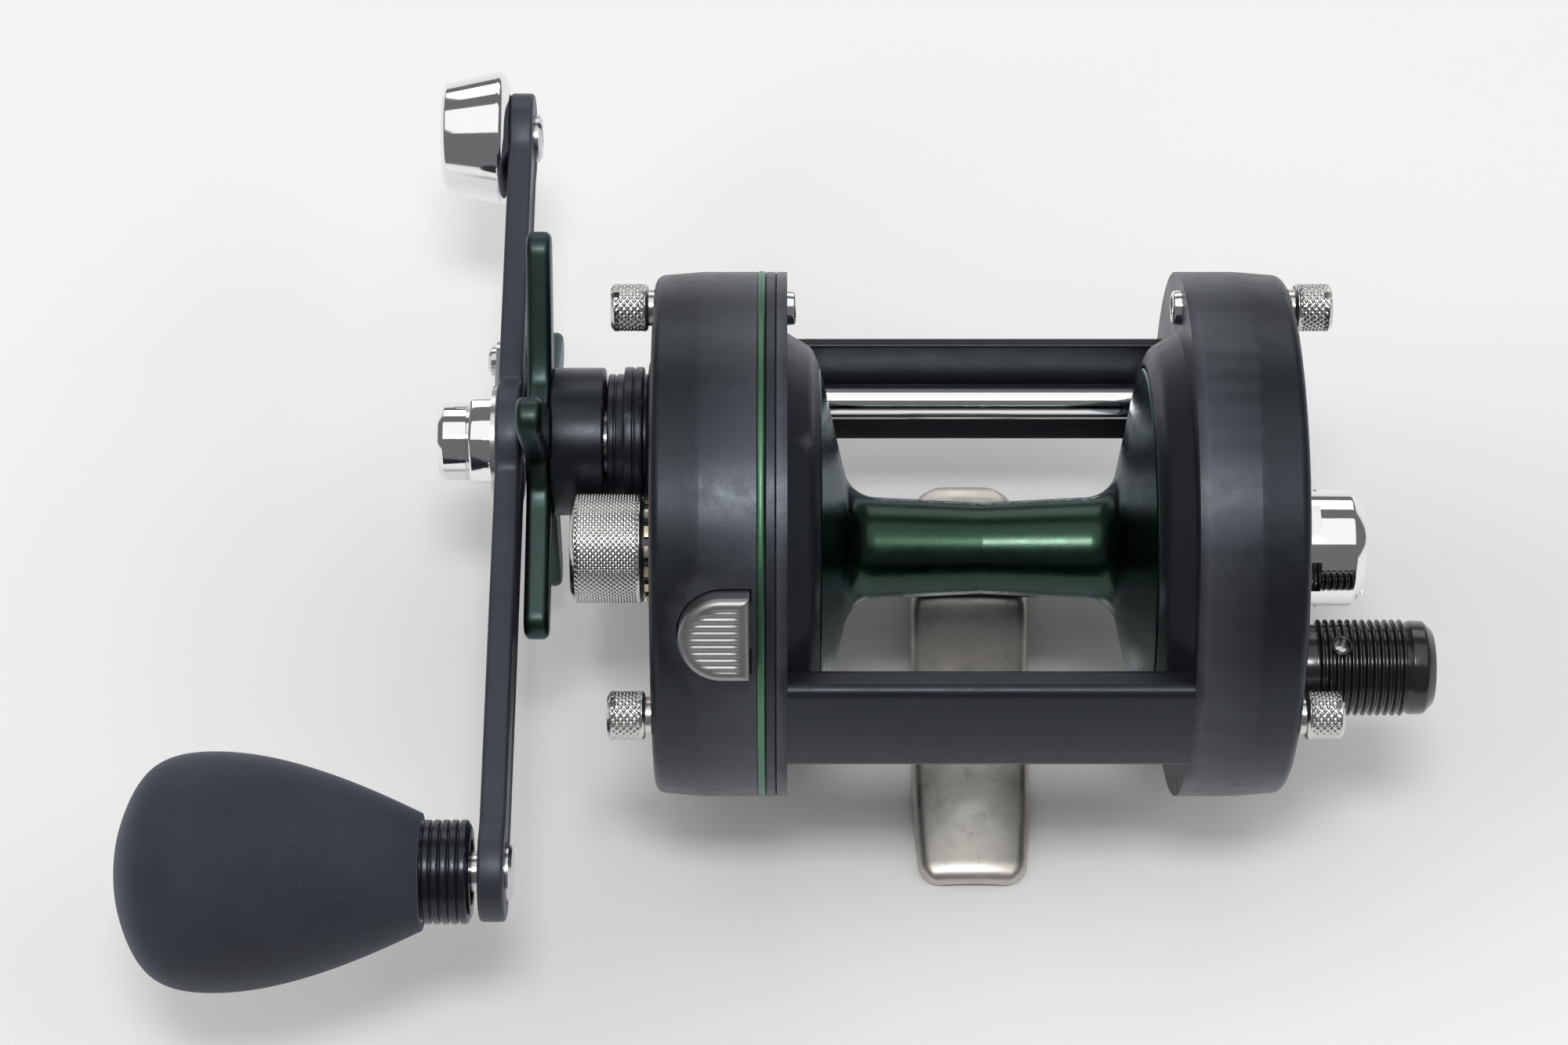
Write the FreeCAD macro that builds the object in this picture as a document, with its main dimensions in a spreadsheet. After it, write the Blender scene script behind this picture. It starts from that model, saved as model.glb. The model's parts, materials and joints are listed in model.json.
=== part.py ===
"""A round multiplier (trolling) reel, as a parametric FreeCAD document.

Frame, in millimetres: X runs along the spool's axis, from the handle side (-X) to the palm side (+X),
+Y is the front, where the line leaves, and +Z is up. The origin is under the middle of the reel, on the
plane that the foot's sole stands on. The driving sizes are the cells of the sheet named dims.
"""
import FreeCAD, Part
import math
import os
import re
import Sketcher

V = FreeCAD.Vector

DIMENSIONS = {
    # the round side plates and the cage between them
    "plate_radius": 33.35, "axle_height": 40.0, "ring_face": 24.6, "ring_thick": 1.3,
    "opening_radius": 23.2, "collar_radius": 27.4, "collar_shoulder": 3.1,
    "collar_reach": 4.0, "collar_dome": 2.2,
    "bar_depth": 4.6, "rear_bar_start": 154, "rear_bar_sweep": 26,
    "front_bar_depth": 1.6, "front_bar_start": -36.5, "front_bar_sweep": 28,
    "foot_bar_rear": 6.5, "foot_bar_front": 17.0, "foot_bar_top": 14.5, "foot_bar_bottom": 11.5,
    "rod_radius": 2.35, "rod_circle": 29.25, "rod_angle": -23,
    # thumb screws
    "screw_circle": 29.8, "screw_first": 48, "screw_step": 120, "screw_shank": 1.2,
    "screw_head": 3.0, "screw_head_long": 4.6, "screw_neck": 0.8, "boss_radius": 2.5,
    "bush_radius": 2.2, "bush_proud": 1.1,
    # foot
    "foot_rear": 31.0, "foot_front": 29.8, "foot_width": 15.8, "foot_rear_width": 14.3,
    "foot_tip_thick": 2.8, "foot_thick": 3.6, "sole_radius": 21.0, "sole_hollow": 1.0,
    "foot_corner": 1.6, "foot_ramp": 9.0, "foot_throat": 6.0, "rivet_radius": 1.0, "rivet_head": 1.8,
    "rivet_pitch": 4.6,
    # handle side: bridge plate, trim ring, cover
    "wall": 1.7, "trim_outer": 33.4, "trim_inner": 31.25, "bridge_face": 28.4, "trim_start": 27.3,
    "trim_face": 28.3, "gear_cover_face": 41.2, "palm_cover_face": 38.0,
    "cover_taper": 0.5, "cover_taper_long": 6.0, "cover_round": 1.3,
    # spool and its shaft
    "spool_back": 2.1, "spool_rim": 22.9, "spool_rim_face": 20.4, "spool_end": 24.2,
    "arbor_waist": 5.8, "arbor_end": 6.65, "arbor_half": 16.6, "arbor_round": 3.6, "web": 1.5,
    "shaft_radius": 1.5, "bearing_outer": 4.0, "bearing_thick": 2.6,
    # spool tension cap on the handle side, bearing cap on the palm side
    "tension_radius": 7.0, "tension_start": 42.9, "tension_end": 52.0, "thread_radius": 5.8,
    "cap_radius": 7.5, "cap_end": 48.3, "palm_thread": 5.3,
    # drive train
    "crank_front": 15.2, "crank_drop": 2.4, "drive_radius": 3.0, "gear_module": 0.5,
    "gear_teeth": 56, "pinion_teeth": 14, "gear_face": 34.0, "gear_thick": 3.4, "gear_addendum": 0.4,
    "pinion_face": 32.1, "pinion_long": 5.5, "drag_recess": 11.2, "drag_radius": 10.7,
    "friction_thick": 0.5, "steel_thick": 0.6, "ratchet_radius": 9.5, "ratchet_teeth": 12,
    "ratchet_face": 30.2, "ratchet_thick": 1.5, "sleeve_radius": 4.0, "running": 0.1,
    # drive shaft housing outside the cover
    "housing_boss": 10.4, "housing_ring": 9.7, "housing_neck": 8.8,
    # star drag
    "star_face": 54.9, "star_thick": 3.2, "star_reach": 27.5, "star_arm_half": 2.6, "star_hub": 9.0,
    "star_arms": 5, "star_angle": 114.5, "collar_outer": 9.6, "star_collar_start": 48.1,
    # handle
    "arm_face": 58.9, "arm_thick": 3.2, "knob_throw": 61.4, "weight_throw": 48.3, "hub_radius": 8.0,
    "arm_end_radius": 6.1, "arm_waist": 9.4, "nut_flats": 10.0, "nut_hex_long": 3.6, "nut_end": 69.7,
    "nut_barrel": 4.6, "weight_small": 7.4, "weight_large": 9.3, "weight_end": 71.2,
    # handle knob
    "spindle_radius": 2.5, "ferrule_start": 63.1, "ferrule_end": 69.2, "ferrule_radius": 6.4,
    "core_radius": 5.5, "knob_end": 106.5, "knob_radius": 14.7, "knob_neck": 7.2, "knob_widest": 94.5,
    # free-spool button, its slide, and the yoke that it lifts
    "button_angle": 140.7, "button_across": 10.6, "button_gap": 0.2, "button_along": 8.6, "button_start": 29.1,
    "button_proud": 2.8, "button_foot": 31.0, "slide_half": 3.0, "slide_tip": 9.0, "slide_ramp": 11.1,
    "button_travel": 2.2, "yoke_lift": 1.5,
    "yoke_face": 30.7, "yoke_thick": 1.2, "yoke_half": 4.5, "post_offset": 9.0, "post_radius": 1.1,
    "post_end": 36.0, "spring_radius": 1.65, "spring_wire": 0.36, "pinion_neck": 2.6,
    # anti-reverse dog
    "dog_y": 8.0, "dog_z": -20.0, "dog_post": 1.4,
    # magnetic brake on the palm side
    "mag_circle": 20.5, "mag_angle": 174, "mag_knob_radius": 6.0, "mag_knob_start": 38.5,
    "mag_knob_end": 55.5, "mag_spindle": 2.0, "carrier_face": 29.8, "carrier_thick": 1.2,
    "carrier_inner": 8.5, "carrier_outer": 21.4, "magnet_radius": 2.6, "magnet_thick": 1.5,
    "magnet_circle": 15.4,
}

doc = FreeCAD.newDocument("trolling_reel")
sheet = doc.addObject("Spreadsheet::Sheet", "dims")
for row, (alias, size) in enumerate(DIMENSIONS.items(), start=1):
    sheet.set(f"A{row}", alias)
    sheet.set(f"B{row}", str(size))
    sheet.setAlias(f"B{row}", alias)
doc.recompute()

# Axes parallel to X, each as the text of its y and of its z.
PLATE = ("0", "axle_height")
SPOOL = ("-spool_back", "axle_height")
CRANK = ("crank_front", "axle_height - crank_drop")
KNOB = ("crank_front - knob_throw", "axle_height - crank_drop")
WEIGHT = ("crank_front + weight_throw", "axle_height - crank_drop")
MAG = ("mag_circle * cos(mag_angle)", "axle_height + mag_circle * sin(mag_angle)")
ROD = ("rod_circle * cos(rod_angle)", "axle_height + rod_circle * sin(rod_angle)")
DOG = ("dog_y", "axle_height + dog_z")
ALONG_X = FreeCAD.Rotation(V(0, 1, 0), 90)
SCREWS = range(3)


# ---------------------------------------------------------------- helpers

def bound(text):
    """The same expression with each cell's name pointing at the sheet."""
    return re.sub(r"[a-z][a-z_]*", lambda word: ("dims." if word[0] in DIMENSIONS else "") + word[0], text)


def value(text):
    """An expression's number."""
    return float(sheet.evalExpression(bound(text)))


def screw_axis(index, circle="screw_circle"):
    """The axis of one thumb screw."""
    angle = f"(screw_first + {index} * screw_step)"
    return (f"{circle} * cos({angle})", f"axle_height + {circle} * sin({angle})")


def place(thing, axis, x="0"):
    """Bind an object's position to x and to an axis."""
    thing.setExpression("Placement.Base.x", bound(x))
    thing.setExpression("Placement.Base.y", bound(axis[0]))
    thing.setExpression("Placement.Base.z", bound(axis[1]))
    return thing


def outline_sketch(body, role, corners):
    """A closed outline of straight lines in a new sketch; each corner is a pair of expressions."""
    sketch = body.newObject("Sketcher::SketchObject", body.Name + "_outline")
    plane = [item for item in body.Origin.OriginFeatures if item.Role == role][0]
    sketch.AttachmentSupport = (plane, [""])
    sketch.MapMode = "FlatFace"
    points = [V(value(across), value(up), 0) for across, up in corners]
    for index, point in enumerate(points):
        sketch.addGeometry(Part.LineSegment(point, points[(index + 1) % len(points)]), False)
    for index in range(len(points)):
        sketch.addConstraint(Sketcher.Constraint("Coincident", index, 2, (index + 1) % len(points), 1))
    for index, (point, corner) in enumerate(zip(points, corners)):
        for kind, size, text in (("DistanceX", point.x, corner[0]), ("DistanceY", point.y, corner[1])):
            number = sketch.addConstraint(Sketcher.Constraint(kind, -1, 1, index, 1, size))
            sketch.setExpression(f"Constraints[{number}]", bound(text))
    return sketch


def turned(name, axis, corners):
    """A body of revolution about an axis; its corners are (x, radius) pairs of expressions."""
    body = doc.addObject("PartDesign::Body", name)
    sketch = outline_sketch(body, "XY_Plane", corners)
    spin = body.newObject("PartDesign::Revolution", name + "_turn")
    spin.Profile = sketch
    spin.ReferenceAxis = (sketch, ["H_Axis"])
    spin.Angle = 360
    return place(body, axis)


def plate(name, axis, corners, x, thick):
    """A flat piece across the axis; its corners are (y, z) pairs measured from the axis."""
    body = doc.addObject("PartDesign::Body", name)
    sketch = outline_sketch(body, "YZ_Plane", corners)
    pad = body.newObject("PartDesign::Pad", name + "_pad")
    pad.Profile = sketch
    pad.setExpression("Length", bound(thick))
    return place(body, axis, x)


def rod(name, axis, x_from, x_to, radius):
    """A plain cylinder along X."""
    cylinder = doc.addObject("Part::Cylinder", name)
    cylinder.Placement.Rotation = ALONG_X
    cylinder.setExpression("Radius", bound(radius))
    cylinder.setExpression("Height", bound(f"({x_to}) - ({x_from})"))
    return place(cylinder, axis, x_from)


def block(name, x, y, z):
    """A box from three (low, high) pairs of expressions."""
    solid = doc.addObject("Part::Box", name)
    for size, (low, high) in zip(("Length", "Width", "Height"), (x, y, z)):
        solid.setExpression(size, bound(f"({high}) - ({low})"))
    return place(solid, (y[0], z[0]), x[0])


def tube(name, axis, x_from, x_to, inner, outer):
    """A ring along X."""
    return turned(name, axis, [(x_from, inner), (x_to, inner), (x_to, outer), (x_from, outer)])


def join(name, *things):
    """One solid from several."""
    union = doc.addObject("Part::MultiFuse", name)
    union.Shapes = list(things)
    union.Refine = True
    return union


def cut(name, base, *tools):
    """The base without the tools."""
    result = doc.addObject("Part::Cut", name)
    result.Base = base
    result.Tool = tools[0] if len(tools) == 1 else join(name + "_tools", *tools)
    result.Refine = True
    return result


def group(name, *things):
    """Several separate solids in one node."""
    compound = doc.addObject("Part::Compound", name)
    compound.Links = list(things)
    return compound


def softened(name, base, radius, chosen):
    """The base with the chosen edges rounded."""
    doc.recompute()
    size = value(radius)
    result = doc.addObject("Part::Fillet", name)
    result.Base = base
    result.Edges = [(number, size, size) for number, edge in enumerate(base.Shape.Edges, 1) if chosen(edge)]
    return result


def circle_edge(x, radius):
    """A test for the round edge of a turned piece at x with that radius."""
    def chosen(edge):
        curve = edge.Curve
        return (isinstance(curve, Part.Circle) and abs(curve.Radius - value(radius)) < 0.01
                and abs(edge.BoundBox.Center.x - value(x)) < 0.01)
    return chosen


def along_x(edge):
    """True for a straight edge parallel to X."""
    box = edge.BoundBox
    return isinstance(edge.Curve, Part.Line) and box.YLength < 1e-6 and box.ZLength < 1e-6


def swung(thing, angle):
    """Turn a piece drawn along +Y about the X axis, to that angle."""
    thing.Placement.Rotation = FreeCAD.Rotation(V(1, 0, 0), value(angle))
    return thing


def computed(name, shape, axis, x="0"):
    """A feature whose shape is worked out in code from the sheet, then put in its place."""
    feature = doc.addObject("Part::Feature", name)
    feature.Shape = shape
    return place(feature, axis, x)


# ---------------------------------------------------------------- cage and foot

def curved_bar(name, start, sweep, depth):
    """A bar between the rings that follows the plates' rim."""
    outer = rod(name + "_outer", PLATE, "-ring_face", "ring_face", "plate_radius - 0.05")
    outer.setExpression("Angle", bound(sweep))
    inner = rod(name + "_inner", PLATE, "-ring_face - 1", "ring_face + 1", f"plate_radius - {depth}")
    outer.Placement.Rotation = FreeCAD.Rotation(V(1, 0, 0), value(start) + 90).multiply(ALONG_X)
    edges_radius = f"{depth} * 0.3"
    return softened(name, cut(name + "_blank", outer, inner), edges_radius, along_x)


def cage_side(side, sign):
    """One ring of the cage with the raised collar around the spool's opening."""
    face = f"{sign} ring_face"
    disc = rod(f"cage_disc_{side}", PLATE, *sorted((face, f"{sign} (ring_face + ring_thick)"), key=value),
               "plate_radius")
    shoulder = f"{sign} (ring_face - collar_shoulder)"
    ring = turned(f"cage_collar_{side}", SPOOL, [
        (face, "collar_radius"), (shoulder, "collar_radius - 1.9"),
        (f"{sign} (ring_face - collar_reach)", "opening_radius + 0.3"),
        (f"{sign} (ring_face - collar_reach)", "opening_radius"), (face, "opening_radius")])
    collar = softened(f"cage_dome_{side}", ring, "collar_dome", circle_edge(shoulder, "collar_radius - 1.9"))
    boss = rod(f"cage_boss_{side}", screw_axis(2), *sorted((face, f"{sign} (ring_face - 6)"), key=value),
               "boss_radius")
    return [disc, collar, boss]


def rod_screw(name, sign, spare="0"):
    """A countersunk screw in the end of the front rod."""
    outside = f"{sign} (ring_face + ring_thick)"
    return turned(name, ROD, [
        (outside, "0"), (outside, f"2.1 + {spare}"), (f"{sign} (ring_face + 0.3)", f"1.1 + {spare}"),
        (f"{sign} (ring_face - 5)", f"1.1 + {spare}"), (f"{sign} (ring_face - 5)", "0")])


def cage():
    """Two rings with three bars, in one piece."""
    foot_bar = block("foot_bar", ("-ring_face", "ring_face"), ("foot_bar_rear", "foot_bar_front"),
                     ("foot_bar_bottom", "foot_bar_top"))
    body = join("cage_blank", *cage_side("left", "-"), *cage_side("right", "+"),
                curved_bar("rear_bar", "rear_bar_start", "rear_bar_sweep", "bar_depth"),
                curved_bar("front_bar", "front_bar_start", "front_bar_sweep", "front_bar_depth"), foot_bar)
    openings = rod("cage_openings", SPOOL, "-ring_face - 3", "ring_face + 3", "opening_radius")
    holes = [rod(f"cage_screw_hole_{index}_{side}", screw_axis(index), low, high, "screw_shank")
             for index in SCREWS
             for side, low, high in (("left", "-ring_face - 3", "-ring_face + 5"),
                                     ("right", "ring_face - 5", "ring_face + 3"))]
    rivets = [rivet(f"cage_rivet_hole_{index}", index - 1) for index in range(3)]
    rod_holes = [rod_screw(f"cage_rod_hole_{side}", sign) for side, sign in (("left", "-"), ("right", "+"))]
    return cut("cage", body, openings, *holes, *rivets, *rod_holes)


def front_rod():
    """The polished stiffening rod inside the front bar."""
    bar = rod("front_rod_bar", ROD, "-ring_face", "ring_face", "rod_radius")
    sinks = [rod_screw(f"front_rod_hole_{side}", sign) for side, sign in (("left", "-"), ("right", "+"))]
    return cut("front_rod", bar, *sinks)


def front_rod_screws():
    """A countersunk screw at each end of the front rod."""
    return group("front_rod_screws", *[rod_screw(f"rod_screw_{side}", sign)
                                       for side, sign in (("left", "-"), ("right", "+"))])


def rivet(name, step):
    """A rivet that holds the foot to its bar: a low head and a shank down into the foot."""
    head = doc.addObject("Part::Cylinder", name + "_head")
    head.setExpression("Radius", bound("rivet_head"))
    head.Height = 0.9
    shank = doc.addObject("Part::Cylinder", name + "_shank")
    shank.setExpression("Radius", bound("rivet_radius"))
    shank.setExpression("Height", bound("foot_bar_top - 5"))
    middle = "(foot_bar_rear + foot_bar_front) / 2"
    place(head, (middle, "foot_bar_top"), f"{step} * rivet_pitch")
    place(shank, (middle, "5"), f"{step} * rivet_pitch")
    return join(name, head, shank)


def reel_foot():
    """The foot: a blade with a hollow sole, a ramp, and a pillar up to the cage's foot bar."""
    side = doc.addObject("PartDesign::Body", "foot_side")
    sketch = outline_sketch(side, "YZ_Plane", [
        ("-foot_rear", "0"), ("foot_front", "0"), ("foot_front", "foot_tip_thick - 0.4"),
        ("foot_bar_front + 1", "foot_thick"), ("foot_bar_front", "foot_bar_bottom"),
        ("foot_bar_rear", "foot_bar_bottom"), ("foot_bar_rear - foot_ramp", "foot_thick"),
        ("-foot_rear + 14", "foot_thick"), ("-foot_rear", "foot_tip_thick")])
    pad = side.newObject("PartDesign::Pad", "foot_side_pad")
    pad.Profile = sketch
    pad.Midplane = True
    pad.setExpression("Length", bound("foot_width + 2"))
    plan = doc.addObject("PartDesign::Body", "foot_plan")
    sketch = outline_sketch(plan, "XY_Plane", [
        ("-foot_rear_width / 2", "-foot_rear"), ("foot_rear_width / 2", "-foot_rear"),
        ("foot_width / 2", "-foot_rear + 13"), ("foot_width / 2", "foot_bar_rear - 6"),
        ("foot_width / 2 - 0.5", "foot_front"), ("-foot_width / 2 + 0.5", "foot_front"),
        ("-foot_width / 2", "foot_bar_rear - 6"), ("-foot_width / 2", "-foot_rear + 13")])
    pad = plan.newObject("PartDesign::Pad", "foot_plan_pad")
    pad.Profile = sketch
    pad.setExpression("Length", bound("foot_bar_top"))
    blank = doc.addObject("Part::Common", "foot_blank")
    blank.Base = side
    blank.Tool = plan
    saddle = doc.addObject("Part::Cylinder", "foot_sole")
    saddle.setExpression("Radius", bound("sole_radius"))
    saddle.setExpression("Height", bound("foot_rear + foot_front + 4"))
    saddle.Placement.Rotation = FreeCAD.Rotation(V(1, 0, 0), -90)
    place(saddle, ("-foot_rear - 2", "sole_hollow - sole_radius"))
    hollow = cut("foot_hollow", blank, saddle, *[rivet(f"foot_rivet_{step}", step) for step in (-1, 0, 1)])
    return softened("reel_foot", softened("foot_corners", hollow, "foot_corner", upright_corner),
                    "foot_throat", inside_corner)


def upright_corner(edge):
    """True for the foot's short upright edges at its two tips."""
    box = edge.BoundBox
    return (box.XLength < 1e-3 and box.YLength < 1e-3 and box.ZLength > 1.0
            and (box.YMin < -value("foot_rear") + 0.1 or box.YMax > value("foot_front") - 0.1))


def inside_corner(edge):
    """True for the inside corner between the foot's blade and the ramp behind its pillar."""
    box = edge.BoundBox
    return (box.XLength > 10 and abs(box.ZMin - value("foot_thick")) < 0.01 and box.ZLength < 1e-3
            and abs(box.YMin - value("foot_bar_rear - foot_ramp")) < 0.01)


def foot_rivets():
    """Three rivets in a row."""
    return group("foot_rivets", *[rivet(f"foot_rivet_solid_{index}", index - 1) for index in range(3)])


# ---------------------------------------------------------------- side plates

def screw_holes(name, x_from, x_to):
    """The three clear holes for a side's thumb screws."""
    return [rod(f"{name}_screw_hole_{index}", screw_axis(index), x_from, x_to, "screw_shank")
            for index in SCREWS]


def bridge_plate():
    """The plate that carries the gears, with a thin rim that shows as a dark groove."""
    inner_face = "-ring_face - ring_thick"
    disc = turned("bridge_disc", PLATE, [
        (inner_face, "0"), (inner_face, "plate_radius - 0.25"), (f"{inner_face} - 0.25", "plate_radius"),
        ("-trim_start + 0.2", "plate_radius"), ("-trim_start", "plate_radius - 0.2"),
        ("-trim_start", "trim_inner"), ("-bridge_face", "trim_inner"), ("-bridge_face", "0")])
    return cut("bridge_plate", disc,
               rod("bridge_spool_hole", SPOOL, "-bridge_face - 1", inner_face + " + 1", "4.6"),
               rod("bridge_crank_hole", CRANK, "-bridge_face - 1", inner_face + " + 1", "3.6"),
               rod("bridge_dog_hole", DOG, "-bridge_face - 1", inner_face + " + 1", "dog_post"),
               *[rod(f"bridge_post_hole_{side}", post_axis(sign), "-bridge_face - 1", inner_face + " + 1",
                     "post_radius") for side, sign in POSTS],
               *screw_holes("bridge", "-bridge_face - 1", inner_face + " + 1"))


def trim_ring():
    """The coloured ring between the bridge plate and the cover."""
    return turned("trim_ring", PLATE, [
        ("-trim_start", "trim_inner"), ("-trim_start", "trim_outer - 0.2"),
        ("-trim_start - 0.2", "trim_outer"), ("-trim_face + 0.2", "trim_outer"),
        ("-trim_face", "trim_outer - 0.2"), ("-trim_face", "trim_inner")])


def cup(name, edge, face, sign):
    """A cover: a shallow cup with a rounded outer rim, open towards the cage."""
    outer_face = f"{sign} {face}"
    inner_face = f"{sign} ({face} - wall)"
    mouth = f"{sign} ({edge})"
    shell = turned(name + "_shell", PLATE, [
        (outer_face, "0"), (outer_face, "plate_radius - cover_taper"),
        (f"{sign} ({face} - cover_taper_long)", "plate_radius"), (mouth, "plate_radius"),
        (mouth, "plate_radius - wall"), (inner_face, "plate_radius - wall"), (inner_face, "0")])
    return softened(name + "_cup", shell, "cover_round",
                    circle_edge(outer_face, "plate_radius - cover_taper"))


def cover_bosses(name, x_from, x_to):
    """The pillars inside a cover that the thumb screws pass through."""
    return [rod(f"{name}_boss_{index}", screw_axis(index), x_from, x_to, "boss_radius") for index in SCREWS]


def gear_cover():
    """The handle-side cover, with the threaded boss for the tension cap and the button's slot."""
    shell = cup("gear_cover", "trim_face", "gear_cover_face", "-")
    boss = rod("gear_cover_thread", SPOOL, "-tension_end + 3", "-gear_cover_face + wall", "thread_radius")
    body = join("gear_cover_blank", shell, boss,
                *cover_bosses("gear_cover", "-gear_cover_face + wall * 0.5", "-bridge_face"))
    outline = button_outline(value("plate_radius - 2 * wall"), value("button_gap"))
    slot = swung(computed("gear_cover_slot", outline.extrude(V(0, value("3 * wall"), 0)), PLATE),
                 "button_angle")
    return cut("gear_cover", body, slot,
               rod("gear_cover_shaft_hole", CRANK, "-gear_cover_face - 1", "-gear_cover_face + 3", "6.6"),
               rod("gear_cover_bearing_seat", SPOOL, "-tension_end + 2", "-gear_cover_face - 1.2",
                   "bearing_outer"),
               rod("gear_cover_pinion_hole", SPOOL, "-gear_cover_face - 2", "-gear_cover_face + 3", "3.0"),
               *screw_holes("gear_cover", "-gear_cover_face - 2", "-bridge_face + 1"))


def palm_cover():
    """The palm-side cover, with the boss that holds the spool's second bearing."""
    shell = cup("palm_cover", "ring_face + ring_thick", "palm_cover_face", "")
    thread = rod("palm_cover_thread", SPOOL, "palm_cover_face - wall", "palm_cover_face + 6", "palm_thread")
    body = join("palm_cover_blank", shell, thread,
                *cover_bosses("palm_cover", "ring_face + ring_thick", "palm_cover_face - wall * 0.5"))
    return cut("palm_cover", body,
               rod("palm_bearing_seat", SPOOL, "palm_cover_face + 1", "palm_cover_face + 8", "bearing_outer"),
               rod("palm_shaft_hole", SPOOL, "palm_cover_face - 4", "palm_cover_face + 2", "3.0"),
               rod("palm_mag_hole", MAG, "palm_cover_face - 4", "palm_cover_face + 2",
                   "mag_spindle + running"),
               *screw_holes("palm_cover", "ring_face", "palm_cover_face + 2"))


def thumb_screw(name, index, side, face, sign):
    """One knurled thumb screw with a coin slot, through a side and into the cage."""
    head_start = f"{sign} ({face} + screw_neck)"
    head_end = f"{sign} ({face} + screw_neck + screw_head_long)"
    body = turned(f"{name}_body", screw_axis(index), [
        (f"{sign} (ring_face + 0.1)", "0"), (f"{sign} (ring_face + 0.1)", "screw_shank"),
        (f"{sign} {face}", "screw_shank"), (f"{sign} {face}", "2.3"), (head_start, "2.3"),
        (head_start, "screw_head"), (f"{sign} ({face} + screw_neck + screw_head_long - 0.5)", "screw_head"),
        (head_end, "screw_head - 0.5"), (head_end, "0")])
    axis = screw_axis(index)
    low, high = sorted((f"{sign} ({face} + screw_neck + screw_head_long - 1.1)",
                        f"{sign} ({face} + screw_neck + screw_head_long + 1)"), key=value)
    slot = block(f"{name}_slot", (low, high), (f"{axis[0]} - 0.4", f"{axis[0]} + 0.4"),
                 (f"{axis[1]} - 4", f"{axis[1]} + 4"))
    return cut(f"{name}_{side}", body, slot)


def thumb_screws(name, side, face, sign):
    """A side's three thumb screws."""
    return group(name, *[thumb_screw(f"{name}_{index}", index, side, face, sign) for index in SCREWS])


def screw_bushes():
    """The polished eyelets that show on the rings' inner faces at the top screws."""
    return group("screw_bushes", *[
        turned(f"screw_bush_{side}", screw_axis(0), [
            (f"{sign} ring_face", "screw_shank"), (f"{sign} (ring_face - 0.8)", "screw_shank"),
            (f"{sign} (ring_face - bush_proud)", "screw_shank + 0.3"),
            (f"{sign} (ring_face - bush_proud)", "bush_radius - 0.3"),
            (f"{sign} (ring_face - 0.7)", "bush_radius"), (f"{sign} ring_face", "bush_radius")])
        for side, sign in (("left", "-"), ("right", "+"))])


# ---------------------------------------------------------------- spool

def spool():
    """The spool: a waisted arbor between two dished flanges, hollow behind each flange."""
    def half(sign):
        return [(f"{sign} arbor_half", "arbor_end"), (f"{sign} spool_rim_face", "spool_rim"),
                (f"{sign} spool_end", "spool_rim"), (f"{sign} spool_end", "spool_rim - 1.2"),
                (f"{sign} (spool_rim_face + web)", "spool_rim - 1.8"),
                (f"{sign} (arbor_half + web + 1.6)", "arbor_end + 1"),
                (f"{sign} spool_end", "arbor_end - 1"), (f"{sign} spool_end", "shaft_radius")]

    body = turned("spool_turned", SPOOL,
                  [("0", "arbor_waist")] + half("+") + list(reversed(half("-"))))

    def throat(edge):
        return (isinstance(edge.Curve, Part.Circle) and abs(edge.Curve.Radius - value("arbor_end")) < 0.01
                and abs(abs(edge.BoundBox.Center.x) - value("arbor_half")) < 0.01)

    def rim(edge):
        return (isinstance(edge.Curve, Part.Circle) and abs(edge.Curve.Radius - value("spool_rim")) < 0.01
                and abs(abs(edge.BoundBox.Center.x) - value("spool_rim_face")) < 0.01)

    return softened("spool", softened("spool_throat", body, "arbor_round", throat), "0.5", rim)


def spool_shaft():
    """The steel shaft through the spool, from the tension cap to the palm-side cap."""
    return turned("spool_shaft", SPOOL, [
        ("-tension_end + 2.0", "0"), ("-tension_end + 2.0", "shaft_radius - 0.5"),
        ("-tension_end + 2.5", "shaft_radius"), ("palm_cover_face + 6.6", "shaft_radius"),
        ("palm_cover_face + 7.1", "shaft_radius - 0.5"), ("palm_cover_face + 7.1", "0")])


def spool_cross_pin():
    """The pin through the shaft that the pinion's slot takes hold of, as its two ends."""
    ends = []
    for side, low, high in (("low", "axle_height - 3", "axle_height - shaft_radius + 0.1"),
                            ("high", "axle_height + shaft_radius - 0.1", "axle_height + 3")):
        pin = doc.addObject("Part::Cylinder", f"cross_pin_{side}")
        pin.Radius = 0.5
        pin.setExpression("Height", bound(f"({high}) - ({low})"))
        place(pin, (SPOOL[0], low), "-29.3")
        keep = rod(f"cross_pin_{side}_shaft", SPOOL, "-31", "-28", "shaft_radius")
        ends.append(cut(f"cross_pin_{side}_end", pin, keep))
    return group("spool_cross_pin", *ends)


def ball_bearing(name, axis, x, thick, inner, outer):
    """A ball bearing: two rings with a ring of balls between them, joined by its cage."""
    x_end = f"({x}) + ({thick})"
    middle = f"({inner} + {outer}) / 2"
    rings = join(name, tube(name + "_inner", axis, x, x_end, inner, f"{middle} - 0.3"),
                 tube(name + "_outer", axis, x, x_end, f"{middle} + 0.3", outer),
                 tube(name + "_cage", axis, f"({x}) + 0.4", f"({x_end}) - 0.4", f"{middle} - 0.5",
                      f"{middle} + 0.5"))
    return rings


def tension_knob():
    """The knurled cap that presses on the end of the spool's shaft."""
    return turned("tension_knob", SPOOL, [
        ("-tension_start", "thread_radius + 0.15"), ("-tension_start", "tension_radius - 0.3"),
        ("-tension_start - 0.3", "tension_radius"), ("-tension_end + 0.9", "tension_radius"),
        ("-tension_end", "tension_radius - 0.9"), ("-tension_end", "0"), ("-tension_end + 1.2", "0"),
        ("-tension_end + 1.2", "thread_radius + 0.15")])


def tension_shim():
    """The bronze disc in the bottom of the tension cap."""
    return rod("tension_shim", SPOOL, "-tension_end + 1.2", "-tension_end + 1.8", "3.4")


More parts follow.
